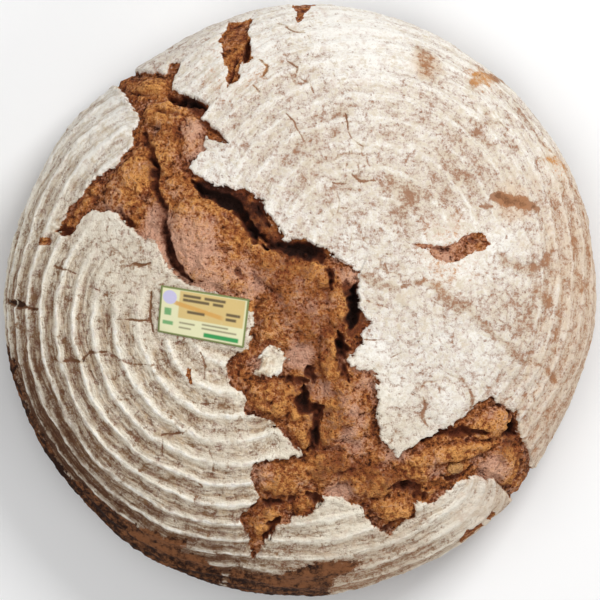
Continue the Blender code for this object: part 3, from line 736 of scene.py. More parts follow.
def flour_field(u, v, hollow_flour, cracks, net):
    """How much flour lies on the plates between the crests, from none at 0 to all over at 1."""
    skin, angle = polar(u, v)
    # More flour to the back, partly painted light on the lit north side
    direction, spread, distances, amount = FLOUR_AND_LIGHT_BACK
    back = np.exp(-(((angle - direction) / spread) ** 2)) * smooth(*distances, skin)
    flour = hollow_flour + amount * back + layers(u, v, FLOUR_PATCHES, 82)
    flour -= stretch(skin, angle, *THIN_INSIDE) + stretch(skin, angle, *THIN_OUTSIDE)
    for sign, places in ((-1.0, THIN_FLOUR), (1.0, THICK_FLOUR)):
        for x, y, reach, amount in places:
            flour += sign * amount * spot(u, v, x, y, reach)
    return flour - strokes(u, v, RUBBED, 87) - 0.5 * net - 1.2 * smooth(0.0, 0.5, cracks)


def covered_field(u, v):
    """1 where flour reached the crust, 0 on the bare rim and below the widest ring."""
    bare = np.full(u.shape, -8.0)
    for shape in BARE_RIM:
        bare = np.maximum(bare, where_near(outline_depth, u, v, shape, 8.0, -8.0))
    bare += 2.0 * layers(u, v, EDGE_RAGGED, 81)
    edge = np.hypot(u, v) - WIDEST_SKIN - FLOUR_END
    edge -= 6.0 * noise(u, v, 24.0, 84) + 2.5 * noise(u, v, 7.0, 85)
    return (1.0 - smooth(0.0, FLOUR_END_RUN, edge)) * (1.0 - smooth(-5.0, 3.0, bare))


def toned_fields(u, v):
    """Where the crust under the flour has another colour, by name, with the south-west side darkened as
    painted shade.
    """
    skin, angle = polar(u, v)
    toasted = [stretch(skin, angle, *part) for part in (TOASTED_EAST, TOASTED_SOUTH)]
    toasted += [spot(u, v, x, y, reach) for x, y, reach in TOASTED]
    amber = sum(spot(u, v, x, y, reach) for x, y, reach in AMBER)
    charred = sum(0.6 * spot(u, v, x, y, reach) for x, y, reach in CHARRED)
    return {
        "amber": np.clip(amber, 0.0, 1.0),
        "umber": between(angle, *UMBER_BETWEEN),
        "burnt_and_shaded": stretch(skin, angle, *BURNT_AND_SHADED),
        "toasted": np.maximum.reduce(toasted),
        "outer": smooth(WIDEST_SKIN - 26.0, WIDEST_SKIN - 6.0, skin) + charred,
    }


def crust_fields(u, v):
    """Everything about the crust at points of the skin plane, by name."""
    skin, angle = polar(u, v)
    main, small, cut = tear_depths(u, v)
    count, ring_depth, hollow_flour, along = spaced_rings(u, v)
    torn = smooth(-TEAR_WALL / 2.0, TEAR_WALL / 2.0, main)
    net = crackle(u, v) * (1.0 - torn) * between(angle, *NET_BETWEEN)
    cracks = strokes(u, v, CRACKS, 61) * (1.0 - torn)
    plate = ring_relief(u, v, count, ring_depth) + blister_relief(u, v) - cut
    plate = plate - CRACK_DEPTH * cracks - NET_DEPTH * net
    plate += PLATE_LIP * np.exp(np.minimum(main, 0.0) / LIP_RUN) + layers(u, v, PLATE_GRAIN, 71)
    in_tear = CRUMB_AT_EDGE + (1.0 - CRUMB_AT_EDGE) * smooth(0.0, CRUMB_RISE, main)
    crumb = crumb_relief(u, v) * in_tear - TEAR_DEPTH
    clefts = strokes(u, v, CLEFTS, 8) * smooth(-0.5, 1.2, np.maximum(main, small))
    relief = plate * (1.0 - torn) + crumb * torn - clefts + layers(u, v, SWELL, 5)
    seat = where_near(outline_depth, u, v, LABEL_CORNERS, 9.0, -9.0)
    seat = smooth(-3.0 * SEAT_MARGIN, -SEAT_MARGIN, seat)
    relief = relief * (1.0 - seat) + SEAT_LIFT * seat
    relief *= 1.0 - smooth(BASE_SKIN - BASE_FADE, BASE_SKIN, skin)
    return {
        "relief": relief,
        "torn": np.clip(np.maximum(main, small), -4.0, 4.0),
        "flour": flour_field(u, v, hollow_flour, cracks, net),
        "covered": covered_field(u, v),
        "count": count,
        "ringed": np.clip(ring_depth / WEST_RINGS.depth, 0.0, 1.0) * (1.0 - seat),
        "along": along,
        "dusted": sum(amount * spot(u, v, x, y, reach) for x, y, reach, amount in DUSTED),
        # Painted shade in the clefts, by their depth, and in the shaded bands
        "cleft": np.clip(clefts / CLEFT_DARK, 0.0, 1.5) + strokes(u, v, SHADED_CRUMB_BANDS, 33),
        "cracked": cracks / 0.8,
        **toned_fields(u, v),
    }


# Meshes


def new_mesh(name, points, faces):
    """A mesh of triangles from arrays, in metres."""
    mesh = bpy.data.meshes.new(name)
    mesh.vertices.add(len(points))
    mesh.vertices.foreach_set("co", points.astype(np.float32).ravel())
    mesh.loops.add(faces.size)
    mesh.loops.foreach_set("vertex_index", faces.astype(np.int32).ravel())
    mesh.polygons.add(len(faces))
    mesh.polygons.foreach_set("loop_start", np.arange(0, faces.size, 3, dtype=np.int32))
    mesh.update(calc_edges=True)
    mesh.validate()
    return mesh


def set_field(mesh, name, values):
    layer = mesh.attributes.new(name, "FLOAT", "POINT")
    layer.data.foreach_set("value", values.astype(np.float32))


def get_field(mesh, name):
    values = np.empty(len(mesh.vertices), np.float32)
    mesh.attributes[name].data.foreach_get("value", values)
    return values


def linked(name, data):
    """A new object in the scene."""
    obj = bpy.data.objects.new(name, data)
    bpy.context.scene.collection.objects.link(obj)
    return obj


def add_object(name, mesh, material):
    mesh.materials.append(material)
    mesh.shade_smooth()
    return linked(name, mesh)


def triangles(*corners):
    """Triangles from the numbers of their corners, three after three, as arrays of one shape."""
    return np.stack(np.broadcast_arrays(*corners), axis=-1).reshape(-1, 3)


def ring_faces(rings, segments):
    """Triangles of a closed stack of rings with a point at each end."""
    ring, step = np.meshgrid(np.arange(rings - 1), np.arange(segments), indexing="ij")
    a = 1 + ring * segments + step
    b = 1 + ring * segments + (step + 1) % segments
    sides = triangles(a, a + segments, b + segments, a, b + segments, b)
    step = np.arange(segments)
    after = (step + 1) % segments
    last = 1 + rings * segments
    start = last - segments
    top, base = triangles(0, 1 + step, 1 + after), triangles(last, start + after, start + step)
    return np.concatenate([top, sides, base])


def fine_loaf():
    """The whole crust as a dense mesh, with its fields."""
    skins = np.arange(RING_STEP, BASE_SKIN, RING_STEP)
    skin, angle = np.meshgrid(skins, np.arange(SEGMENTS) * 2 * math.pi / SEGMENTS, indexing="ij")
    u = np.append(0.0, (skin * np.cos(angle)).ravel())
    v = np.append(0.0, (skin * np.sin(angle)).ravel())
    fields = crust_fields(u, v)
    points = on_loaf(u, v, fields["relief"])
    shares = np.linspace(1.0, 0.0, BASE_RINGS + 1)[:-1]
    edge = points[-SEGMENTS:] * (1.0, 1.0, 0.0)
    base = (edge[None] * shares[:, None, None]).reshape(-1, 3)
    size, height = BASE_DIMPLES
    base[:, 2] = height * smooth(0.1, 0.8, noise(base[:, 0], base[:, 1], size, 91))
    base[:, 2] *= np.repeat(smooth(1.0, 0.97, shares), SEGMENTS)
    points = np.concatenate([points, base, [(0.0, 0.0, 0.0)]])
    mesh = new_mesh("fine", points * MM, ring_faces(len(skins) + BASE_RINGS, SEGMENTS))
    for name, values in fields.items():
        rest = np.full(len(points) - len(values), -4.0 if name == "torn" else 0.0)
        set_field(mesh, name, np.append(values, rest))
    return mesh


def decimated(mesh, triangles, name):
    """A copy of a mesh with about this many triangles, closest where the shape is finest."""
    obj = linked("fine", mesh)
    modifier = obj.modifiers.new("fewer", "DECIMATE")
    modifier.ratio = triangles / len(mesh.polygons)
    graph = bpy.context.evaluated_depsgraph_get()
    result = bpy.data.meshes.new_from_object(obj.evaluated_get(graph))
    result.name = name
    bpy.data.objects.remove(obj, do_unlink=True)
    bpy.data.meshes.remove(mesh)
    return result


def add_hollows(mesh):
    """Marks how far each point stands out of the surface close by and further round it."""
    ends = np.empty(len(mesh.edges) * 2, np.int32)
    mesh.edges.foreach_get("vertices", ends)
    a, b = ends.reshape(-1, 2).T
    count = len(mesh.vertices)
    neighbours = np.maximum(np.bincount(a, minlength=count) + np.bincount(b, minlength=count), 1)
    relief = get_field(mesh, "relief").astype(float)
    level = relief.copy()
    for step in range(1, max(HOLLOW_PASSES.values()) + 1):
        total = np.bincount(a, level[b], count) + np.bincount(b, level[a], count)
        level = 0.5 * level + 0.5 * total / neighbours
        for name, passes in HOLLOW_PASSES.items():
            if passes == step:
                set_field(mesh, name, relief - level)


def centre_and_ground(mesh):
    """Stands a mesh on the floor over the origin and returns the shift."""
    points = np.empty(len(mesh.vertices) * 3, np.float32)
    mesh.vertices.foreach_get("co", points)
    points = points.reshape(-1, 3)
    shift = (points.min(axis=0) + points.max(axis=0)) / 2
    shift[2] = 0.0
    points -= shift
    points[:, 2] = np.maximum(points[:, 2], 0.0)
    mesh.vertices.foreach_set("co", points.ravel())
    mesh.update()
    return Vector(shift.tolist())


# Materials


def linear(red, green, blue):
    """A display colour as the renderer's linear values."""
    return tuple(((c + 0.055) / 1.055) ** 2.4 if c > 0.04 else c / 12.92 for c in (red, green, blue))


class Graph:
    """A material's node tree, written as expressions. Sizes are in millimetres.

    g["name"] is the value that was set under that name, or else the mesh's field of that name.
    """

    def __init__(self, name):
        self.named = {}
        self.material = bpy.data.materials.new(name)
        self.material.use_nodes = True
        self.tree = self.material.node_tree
        self.shader = self.tree.nodes["Principled BSDF"]
        self.place = self.node("TexCoord", {}).outputs["Object"]

    def put(self, socket, value):
        if isinstance(value, bpy.types.NodeSocket):
            self.tree.links.new(value, socket)
        elif hasattr(socket.default_value, "__len__") and len(socket.default_value) == 4:
            socket.default_value = (*value, 1.0)
        else:
            socket.default_value = value

    def node(self, kind, inputs, **settings):
        """A new node with its inputs, by name or number, and its settings."""
        node = self.tree.nodes.new("ShaderNode" + kind)
        for name, value in settings.items():
            setattr(node, name, value)
        for key, value in inputs.items():
            self.put(node.inputs[key], value)
        return node

    def __getitem__(self, name):
        if name not in self.named:
            self.named[name] = self.node("Attribute", {}, attribute_name=name).outputs["Fac"]
        return self.named[name]

    def __setitem__(self, name, value):
        self.named[name] = value

    def math(self, operation, *values):
        return self.node("Math", dict(enumerate(values)), operation=operation).outputs[0]

    def times(self, result, *factors):
        for factor in factors:
            result = self.math("MULTIPLY", result, factor)
        return result

    def total(self, *terms):
        """A sum of terms, each a value or a pair of a value and its weight."""
        result = 0.0
        for term in terms:
            if isinstance(term, tuple):
                result = self.math("MULTIPLY_ADD", term[0], term[1], result)
            else:
                result = self.math("ADD", term, result)
        return result

    def blend(self, weights, start=0.0):
        """A start and a sum of named values, each with its weight."""
        return self.total(start, *((self[name], weight) for name, weight in weights.items()))

    def ramp(self, value, low, high):
        """A smooth step from 0 at low to 1 at high."""
        inputs = {"Value": value, "From Min": low, "From Max": high}
        return self.node("MapRange", inputs, interpolation_type="SMOOTHSTEP").outputs["Result"]

    def scaled(self, stretch, seed):
        """The place on the piece, stretched, and moved by a seed."""
        moved = (seed * 0.37, seed * 0.61, seed * 0.23)
        return self.node("Mapping", {"Vector": self.place, "Location": moved, "Scale": stretch}).outputs[0]

    def centred(self, **inputs):
        return self.math("SUBTRACT", self.node("TexNoise", inputs).outputs[0], 0.5)

    def noise(self, size, detail, seed, stretch=(1.0, 1.0, 1.0)):
        """Noise about 0, mostly from -0.5 to 0.5."""
        vector = self.scaled(stretch, seed)
        return self.centred(Vector=vector, Scale=1000.0 / size, Detail=detail, Roughness=NOISE_ROUGHNESS)

    def set_noises(self, noises):
        """Sets noises of a size, detail and seed under their names."""
        for name, (size, detail, seed) in noises.items():
            self[name] = self.noise(size, detail, seed)

    def ring_noise(self, outwards, along, seed):
        """Noise about 0, with so many features in a ring outwards and in a degree along it."""
        x, y = self.times(self["count"], outwards), self.times(self["along"], along)
        vector = self.node("CombineXYZ", {0: x, 1: y, 2: seed * 0.7}).outputs[0]
        return self.centred(Vector=vector, Scale=1.0)

    def cell_edges(self, size, warp, seed):
        """Distance to the edges of a net of cells, as a share of their size."""
        bend = self.node("TexNoise", {"Vector": self.place, "Scale": 1000.0 / (size * 0.8)})
        inputs = {0: bend.outputs["Color"], 1: (warp * MM,) * 3, 2: self.scaled((1.0, 1.0, 1.0), seed)}
        bent = self.node("VectorMath", inputs, operation="MULTIPLY_ADD").outputs[0]
        inputs = {"Vector": bent, "Scale": 1000.0 / size}
        return self.node("TexVoronoi", inputs, feature="DISTANCE_TO_EDGE").outputs["Distance"]

    def mix(self, share, first, second):
        return self.node("Mix", {0: share, 6: first, 7: second}, data_type="RGBA").outputs[2]

    def painted(self, colour, *coats):
        """A colour under coats, each with its share from 0 to 1, its strength and its colour."""
        for share, strength, paint in coats:
            colour = self.mix(self.times(share, strength), colour, paint)
        return colour

    def finish(self, colour, roughness, height, specular):
        """Sets the shader, with a bump whose height is in millimetres."""
        bump = self.node("Bump", {"Distance": MM, "Height": height})
        for name, value in (("Base Color", colour), ("Roughness", roughness),
                            ("Normal", bump.outputs["Normal"]), ("Specular IOR Level", specular)):
            self.put(self.shader.inputs[name], value)
        return self.material


FLOUR = linear(0.96, 0.945, 0.915)
FLOUR_SHADE = linear(0.86, 0.815, 0.74)
# Flour in the ring troughs under painted shade
FLOUR_TROUGH_SHADE = linear(0.73, 0.615, 0.48)
FLOUR_CREAM = linear(0.96, 0.915, 0.82)
FLOUR_MAUVE = linear(0.78, 0.69, 0.645)
FLOUR_TAN = linear(0.85, 0.745, 0.635)
PINK_CRUST = linear(0.63, 0.475, 0.375)
AMBER_CRUST = linear(0.81, 0.57, 0.32)
UMBER_CRUST = linear(0.58, 0.435, 0.305)
PLUM_CRUST = linear(0.55, 0.385, 0.305)
# Darkest crust, also used as painted shade in the ring troughs and on the south-west side
RIM_CRUST = linear(0.32, 0.20, 0.13)
TAN_CRUST = linear(0.66, 0.46, 0.31)
# Flour browned towards the rim and darkened by painted shade on the south-west side
FLOUR_BURNT_AND_SHADED = linear(0.47, 0.345, 0.235)
SPECK = linear(0.46, 0.32, 0.25)
CRACK_BROWN = linear(0.46, 0.31, 0.21)
DARK_CRUST = linear(0.17, 0.09, 0.055)
BARE_CRUST = linear(0.54, 0.35, 0.225)
CRUMB = linear(0.64, 0.375, 0.18)
CRUMB_BRIGHT = linear(0.90, 0.635, 0.355)
CRUMB_RUSSET = linear(0.56, 0.295, 0.155)
# Painted shade in the clefts
CLEFT_SHADE_BROWN = linear(0.43, 0.21, 0.12)
CRUMB_DARK = linear(0.26, 0.115, 0.06)
# Painted shadow in the deepest clefts
CLEFT_SHADOW = linear(0.15, 0.07, 0.04)
CRUMB_DUSTED = linear(0.87, 0.68, 0.58)

# Noises of the plates and of the crumb: size in millimetres, detail and seed
PLATE_NOISES = {
    "meal": (1.0, 2, 1), "clumps": (2.6, 2, 2), "patches": (7.0, 2, 3),
    "grain": (0.6, 1, 4), "specks": (1.6, 1, 5), "blush": (4.5, 3, 8),
}
CRUMB_NOISES = {
    "grain": (0.8, 1, 4), "meal": (1.4, 2, 1), "spots": (2.2, 3, 11), "mottle": (4.0, 3, 12),
    "blots": (13.0, 2, 13), "russet": (6.0, 3, 16), "drifts": (9.0, 2, 14),
}
NOISE_ROUGHNESS = 0.55
THREAD = (1.3, 1)  # size and detail of the fine threads of flour
THREAD_STRETCH = 0.4
QUILT_CELL = (5.6, 3.4)  # size of the net in the flour and how far it is bent

# What each look of the plates is mixed from: named values with their weights
CREST_WAVER = {"clumps": 0.06, "ticks": 0.08}
CREST_BREAKS = {"patches": 2.0, "clumps": 1.7, "ticks": 0.8, "breaks": 2.6}
HALFWAY_BREAKS = {"patches": 1.0, "clumps": 0.5}
# The cover carries painted light on the inner side of each scallop and painted shade in the troughs,
# darkest on the south-west side
COVER = {
    "flour": 1.0, "crest": 0.85, "lit_side": 0.16, "ticks": 0.6, "quilt": 0.46, "lines": 1.5,
    "halfway": 0.35, "trough_shade": -0.14, "burnt trough": -0.40, "meal": 1.40, "clumps": 1.30,
    "patches": 1.30, "threads": 0.80, "grain": 0.9, "worn band": 0.45, "blush": 0.7,
    "standing": 0.14, "dots": -0.35,
}
COVERED = {"covered": 1.0, "clumps": 1.0, "meal": 0.6}
# Painted shade on the south-west side, over crust browned towards the rim, for the crust and for the flour
BURNT_AND_SHADED_BREAD = {"burnt_and_shaded": 1.0, "blush": 0.9, "lines": -0.6}
BURNT_AND_SHADED_FLOUR = {"burnt_and_shaded": 1.0, "blush": 0.9, "clumps": 0.6, "lines": -1.0}
TOASTED_BREAD = {"toasted": 1.0, "blush": 1.0, "patches": 0.6}
SPECKLED = {"specks": 1.0, "clumps": 0.5}
BARE = {
    "patches": 1.6, "clumps": 1.8, "meal": 0.8, "band": 0.25, "ticks": 0.5, "grain": 0.6,
    "burnt_and_shaded": -0.15, "outer": -0.45,
}
CRACKED = {"cracked": 1.0, "meal": 0.9, "threads": 0.5}
CRACKED_DEEP = {"cracked": 1.0, "clumps": 1.2}
SHADE = {
    "clumps": 1.1, "patches": 0.8, "ticks": 0.5, "threads": 0.6, "meal": 0.8, "flour": -0.60,
    "crest": -0.5, "lines": -1.3, "halfway": -0.4,
}
# Flour darkened in the ring troughs: painted shade, with random tone
PAINTED_TROUGH_SHADE = {"trough_shade": 0.50, "clumps": 1.0, "meal": 0.7, "lines": -1.2, "patches": 0.9}
PLATE_BUMP = {
    "meal": 0.30, "grain": 0.14, "clumps": 0.34, "floured": 0.10, "threads": 0.20, "lines": 0.9,
    "halfway": 0.15,
}

# The same for the crumb
# Tone of the crumb: random tone, with painted light on its raised parts and painted shade in its hollows
CRUMB_TONE_AND_PAINTED_LIGHT = {
    "standing": 0.25, "raised": 0.17, "mottle": 1.7, "blots": 0.8, "spots": 2.4, "meal": 1.7,
    "grain": 1.2, "dusted": 0.15,
}
DUST = {"dusted": 1.0, "meal": 2.2, "spots": 1.4, "mottle": 1.4, "drifts": 2.0}
PITS = {"spots": 1.0, "grain": 0.8, "meal": 0.9}
FLECKS = {"meal": 1.0, "grain": 0.6}
# Painted shade in the clefts, with random tone
CLEFT_SHADE_MIX = {"cleft": 1.0, "spots": 0.7, "mottle": 0.7, "meal": 0.5}
CRUMB_BUMP = {"spots": 1.9, "meal": 1.3, "grain": 0.7, "mottle": 0.6, "pits": -0.4}


def set_ring_marks(g):
    """Names what follows the rings: crests, troughs with their painted shade, lines halfway between, ticks,
    bands and painted light on the inner side of each scallop.
    """
    g["ticks"] = g.ring_noise(2.2, 0.75, 3)
    g["lines"] = g.times(g.ring_noise(7.0, 0.16, 5), g["ringed"])
    g["breaks"] = g.ring_noise(0.9, 0.34, 7)
    from_crest = g.math("PINGPONG", g.math("ADD", g["count"], g.blend(CREST_WAVER)), 0.5)
    crest = g.times(g.ramp(from_crest, 0.16, 0.02), g["ringed"], g["ringed"])
    g["crest"] = g.times(crest, g.blend(CREST_BREAKS, 0.80))
    umber_rings = g.times(g["ringed"], g["umber"])
    # Painted shade in the ring troughs, where the flour is also thinner
    g["trough_shade"] = g.times(g.ramp(from_crest, 0.08, 0.32), umber_rings)
    g["burnt trough"] = g.times(g["trough_shade"], g["burnt_and_shaded"])
    halfway = g.times(g.ramp(from_crest, 0.40, 0.47), umber_rings)
    g["halfway"] = g.times(halfway, g.ramp(g.blend(HALFWAY_BREAKS), -0.15, 0.20))
    g["band"] = g.times(g.ramp(from_crest, 0.5, 0.05), g["ringed"])
    g["worn band"] = g.times(g["band"], g.total(0.5, (g["patches"], 1.5)))
    # Lighter towards the next crest out: painted light on the inner side of each scallop
    g["lit_side"] = g.times(g.total(g.math("FRACT", g["count"]), -0.5), g["ringed"])


def set_flour_marks(g):
    """Names the threads, the quilted net and the dots of the flour."""
    one_way, other_way = (THREAD_STRETCH, 1.0, 1.0), (1.0, THREAD_STRETCH, 1.0)
    g["threads"] = g.total(g.noise(*THREAD, 6, one_way), g.noise(*THREAD, 7, other_way))
    quilt = g.total(g.ramp(g.cell_edges(*QUILT_CELL, 9), 0.0, 0.26), -0.6)
    g["quilt"] = g.times(quilt, g.total(1.0, (g["ringed"], -1.0)))
    g["dots"] = g.ramp(g["specks"], 0.12, 0.30)


def bread_look(g, covered, toasted):
    """Colour of the crust itself, under the flour and where it is bare, with painted shade in the ring
    troughs and on the south-west side.
    """
    umber = g.mix(g.ramp(g["blush"], -0.14, 0.14), UMBER_CRUST, PLUM_CRUST)
    under = g.painted(
        g.mix(g["umber"], PINK_CRUST, umber),
        # Painted shade in the ring troughs
        (g["trough_shade"], 0.32, RIM_CRUST),
        # Painted shade on the south-west side, over browner crust
        (g.ramp(g.blend(BURNT_AND_SHADED_BREAD), 0.15, 0.95), 1.0, RIM_CRUST),
        (toasted, 0.75, TAN_CRUST),
        (g["amber"], 0.8, AMBER_CRUST),
        (g.ramp(g.blend(SPECKLED), 0.08, 0.40), 1.0, SPECK),
    )
    bare = g.mix(g.ramp(g.blend(BARE, 0.08), 0.44, -0.56), BARE_CRUST, DARK_CRUST)
    return g.painted(
        g.mix(covered, bare, under),
        (g.ramp(g.blend(CRACKED), 0.25, 0.8), 0.80, CRACK_BROWN),
        (g.ramp(g.blend(CRACKED_DEEP), 1.3, 2.4), 0.85, DARK_CRUST),
    )


def flour_look(g, toasted):
    """Colour of the flour: white on the crests, with painted shade in the troughs, and browned towards the
    rim with painted shade on the south-west side.
    """
    return g.painted(
        FLOUR,
        (g["umber"], g.total(0.75, (g["crest"], -0.5)), FLOUR_CREAM),
        (g.ramp(g["blush"], 0.0, 0.24), 0.55, FLOUR_MAUVE),
        (g.ramp(g.blend(SHADE, 0.30), -0.42, 0.40), 1.0, FLOUR_SHADE),
        # Painted shade in the ring troughs, with random tone
        (g.ramp(g.blend(PAINTED_TROUGH_SHADE), 0.0, 1.1), 0.85, FLOUR_TROUGH_SHADE),
        # Painted shade on the south-west side, over browner flour
        (g.ramp(g.blend(BURNT_AND_SHADED_FLOUR), 0.12, 1.02), g.total(0.98, (g["crest"], -0.50)), FLOUR_BURNT_AND_SHADED),
        (toasted, 0.55, FLOUR_TAN),
    )


def plate_look(g):
    """Colour and height of the floured plates."""
    g.set_noises(PLATE_NOISES)
    set_ring_marks(g)
    set_flour_marks(g)
    covered = g.ramp(g.blend(COVERED), 0.30, 0.62)
    toasted = g.ramp(g.blend(TOASTED_BREAD), 0.0, 1.0)
    g["floured"] = g.times(g.ramp(g.blend(COVER), -0.40, 0.95), covered)
    colour = g.mix(g["floured"], bread_look(g, covered, toasted), flour_look(g, toasted))
    return colour, g.blend(PLATE_BUMP)


def crumb_look(g):
    """Colour and height of the torn crumb."""
    g.set_noises(CRUMB_NOISES)
    light, dust, deep = g.blend(CRUMB_TONE_AND_PAINTED_LIGHT), g.blend(DUST), g.blend(CLEFT_SHADE_MIX)
    g["pits"] = g.ramp(g.blend(PITS), -0.22, -0.46)
    flecks = g.times(g.ramp(g.blend(FLECKS), 0.24, 0.36), g.ramp(dust, 0.1, 1.2))
    colour = g.painted(
        CRUMB,
        (g.ramp(g["russet"], -0.10, 0.14), 1.0, CRUMB_RUSSET),
        # Painted light on raised crumb and painted shade in its hollows, over random tone
        (g.ramp(light, -0.2, 1.1), 1.0, CRUMB_BRIGHT),
        (g.ramp(light, 0.15, -1.1), 1.0, CRUMB_DARK),
        (g.ramp(dust, 0.0, 1.3), 0.85, CRUMB_DUSTED),
        (g["pits"], 0.70, CRUMB_DARK),
        (flecks, 0.6, FLOUR_CREAM),
        # Painted shade in the clefts, and painted shadow in the deepest
        (g.ramp(deep, 0.02, 0.50), 0.85, CLEFT_SHADE_BROWN),
        (g.ramp(deep, 0.35, 0.85), 1.0, CRUMB_DARK),
        (g.ramp(deep, 0.75, 1.25), 1.0, CLEFT_SHADOW),
    )
    return colour, g.blend(CRUMB_BUMP)


def crust_material():
    """Flour over crust on the plates, and rough brown crumb in the tears."""
    g = Graph("crust")
    plate, plate_height = plate_look(g)
    crumb, crumb_height = crumb_look(g)
    ragged = g.total(g["torn"], (g.noise(0.9, 2, 1), 0.9), (g.noise(2.6, 2, 2), 0.9))
    broken = g.ramp(ragged, -0.15, 0.25)
    height = g.total(g.times(broken, crumb_height), plate_height)
    roughness = g.total(0.90, (broken, -0.06), (g.noise(1.7, 3, 11), 0.1))
    return g.finish(g.mix(broken, plate, crumb), roughness, height, 0.2)


PAPER = linear(0.89, 0.88, 0.71)
PAPER_YELLOW = linear(0.84, 0.73, 0.47)
PAPER_GREEN = linear(0.48, 0.52, 0.30)
INK_GREEN = linear(0.15, 0.58, 0.29)
INK_ORANGE = linear(0.83, 0.62, 0.30)
INK_BROWN = linear(0.36, 0.29, 0.17)
INK_LILAC = linear(0.78, 0.76, 0.88)
NUT_SKIN = linear(0.42, 0.24, 0.12)
NUT_MEAT = linear(0.80, 0.60, 0.36)
STUDIO_WHITE = linear(0.97, 0.97, 0.97)

# Print of the label, in shares of its width from the left and of its height from the top
YELLOW_FIELD = (0.22, 0.96, 0.05, 0.62)  # left, right, top and bottom
# Slanting band: top, bottom and softness, then left, right and softness
SWEEP = ((0.22, 0.31, 0.02), (0.16, 0.72, 0.04))
SWEEP_SLOPE = -0.30
# Bars: left, right and top
BARS = (
    (0.26, 0.46, 0.11), (0.50, 0.74, 0.11), (0.26, 0.56, 0.20), (0.60, 0.72, 0.20),
    (0.32, 0.52, 0.44), (0.76, 0.92, 0.36), (0.76, 0.88, 0.46),
)
THIN_BARS = ((0.50, 0.80, 0.66), (0.50, 0.90, 0.74), (0.24, 0.42, 0.70), (0.24, 0.38, 0.80))
BAR_HEIGHT = 0.06
THIN_BAR_HEIGHT = 0.035
# Green blocks: left, right, top, bottom and strength
BLOCKS = ((0.53, 0.93, 0.84, 0.93, 1.0), (0.06, 0.14, 0.45, 0.60, 0.8), (0.05, 0.17, 0.72, 0.80, 0.8))
SPOT_AT = (0.11, 0.22)
SPOT_WIDTH = 3.3  # label's width over its height, squared


def label_material():
    """A printed paper label with fields of colour, a border and plain bars."""
    g = Graph("label_paper")
    across, down = g["across"], g["down"]

    def band(value, low, high, soft=0.012):
        return g.times(g.ramp(value, low - soft, low + soft), g.ramp(value, high + soft, high - soft))

    def box(left, right, top, bottom):
        return g.times(band(across, left, right), band(down, top, bottom, 0.02))

    sweep = g.times(band(g.total(down, (across, SWEEP_SLOPE)), *SWEEP[0]), band(across, *SWEEP[1]))
    coats = [(box(*YELLOW_FIELD), 1.0, PAPER_YELLOW), (sweep, 0.9, INK_ORANGE)]
    for bars, height, strength in ((BARS, BAR_HEIGHT, 0.95), (THIN_BARS, THIN_BAR_HEIGHT, 0.7)):
        for left, right, top in bars:
            coats.append((box(left, right, top, top + height), strength, INK_BROWN))
    for *sides, strength in BLOCKS:
        coats.append((box(*sides), strength, INK_GREEN))
    right, below = (g.math("POWER", g.total(value, -at), 2.0) for value, at in zip((across, down), SPOT_AT))
    from_spot = g.math("SQRT", g.total((right, SPOT_WIDTH), below))
    coats.append((g.ramp(from_spot, 0.16, 0.13), 1.0, INK_LILAC))
    inside = g.times(band(across, 0.022, 0.978, 0.006), band(down, 0.04, 0.96))
    colour = g.mix(inside, PAPER_GREEN, g.painted(PAPER, *coats))
    colour = g.mix(g.ramp(g.noise(2.0, 3, 22), 0.12, 0.4), colour, g.mix(0.35, colour, FLOUR))
    blur = g.noise(1.2, 2, 21)
    return g.finish(colour, g.total(0.5, (blur, 0.2)), g.total((blur, 0.04)), 0.4)


def walnut_material():
    """Toasted nut meat with patches of a thin darker skin."""
    g = Graph("walnut")
    fine, coarse = g.noise(0.8, 3, 31), g.noise(2.4, 2, 32)
    tone = g.total((fine, 0.7), coarse)
    colour = g.mix(g.ramp(tone, -0.35, 0.3), NUT_SKIN, NUT_MEAT)
    return g.finish(colour, g.total(0.55, (fine, 0.2)), g.total((fine, 0.3), (coarse, 0.3)), 0.4)


def floor_material():
    g = Graph("floor")
    return g.finish(STUDIO_WHITE, 0.9, g.total((g.noise(4.0, 1, 41), 0.01)), 0.1)


# Pieces


def make_loaf(material):
    mesh = decimated(fine_loaf(), LOAF_TRIANGLES, "loaf_crust")
    add_hollows(mesh)
    shift = centre_and_ground(mesh)
    loaf = add_object("loaf_crust", mesh, material)
    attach(loaf, "root")
    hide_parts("loaf")
    return shift


def label_rise(across, down):
    """Height of the paper's underside: a little curl at the corners and shallow waves."""
    corner = np.abs(across - 0.5) ** 4 * np.abs(down - 0.5) ** 2 * 64.0
    size, height = LABEL_WAVE
    wave = height * noise(across * 45.0, down * 25.0, size, 95)
    tucked = smooth(0.75, 1.0, (1.0 - across) * down)
    return LABEL_LIFT + LABEL_CURL * corner * (1.0 - tucked) + wave - LABEL_TUCK * tucked


def sheet_faces(columns, rows):
    """Triangles of two sheets of points, the upper one first, and of the wall round them."""
    width, count = columns + 1, (columns + 1) * (rows + 1)
    row, column = np.meshgrid(np.arange(rows), np.arange(columns), indexing="ij")
    a = (row * width + column).ravel()
    upper = triangles(a, a + width, a + width + 1, a, a + width + 1, a + 1)
    rim = np.concatenate([
        np.arange(width), np.arange(1, rows + 1) * width + columns,
        rows * width + np.arange(columns - 1, -1, -1), np.arange(rows - 1, 0, -1) * width,
    ])
    after = np.roll(rim, -1)
    wall = triangles(rim, after, after + count, rim, after + count, rim + count)
    return np.concatenate([upper, upper[:, ::-1] + count, wall])


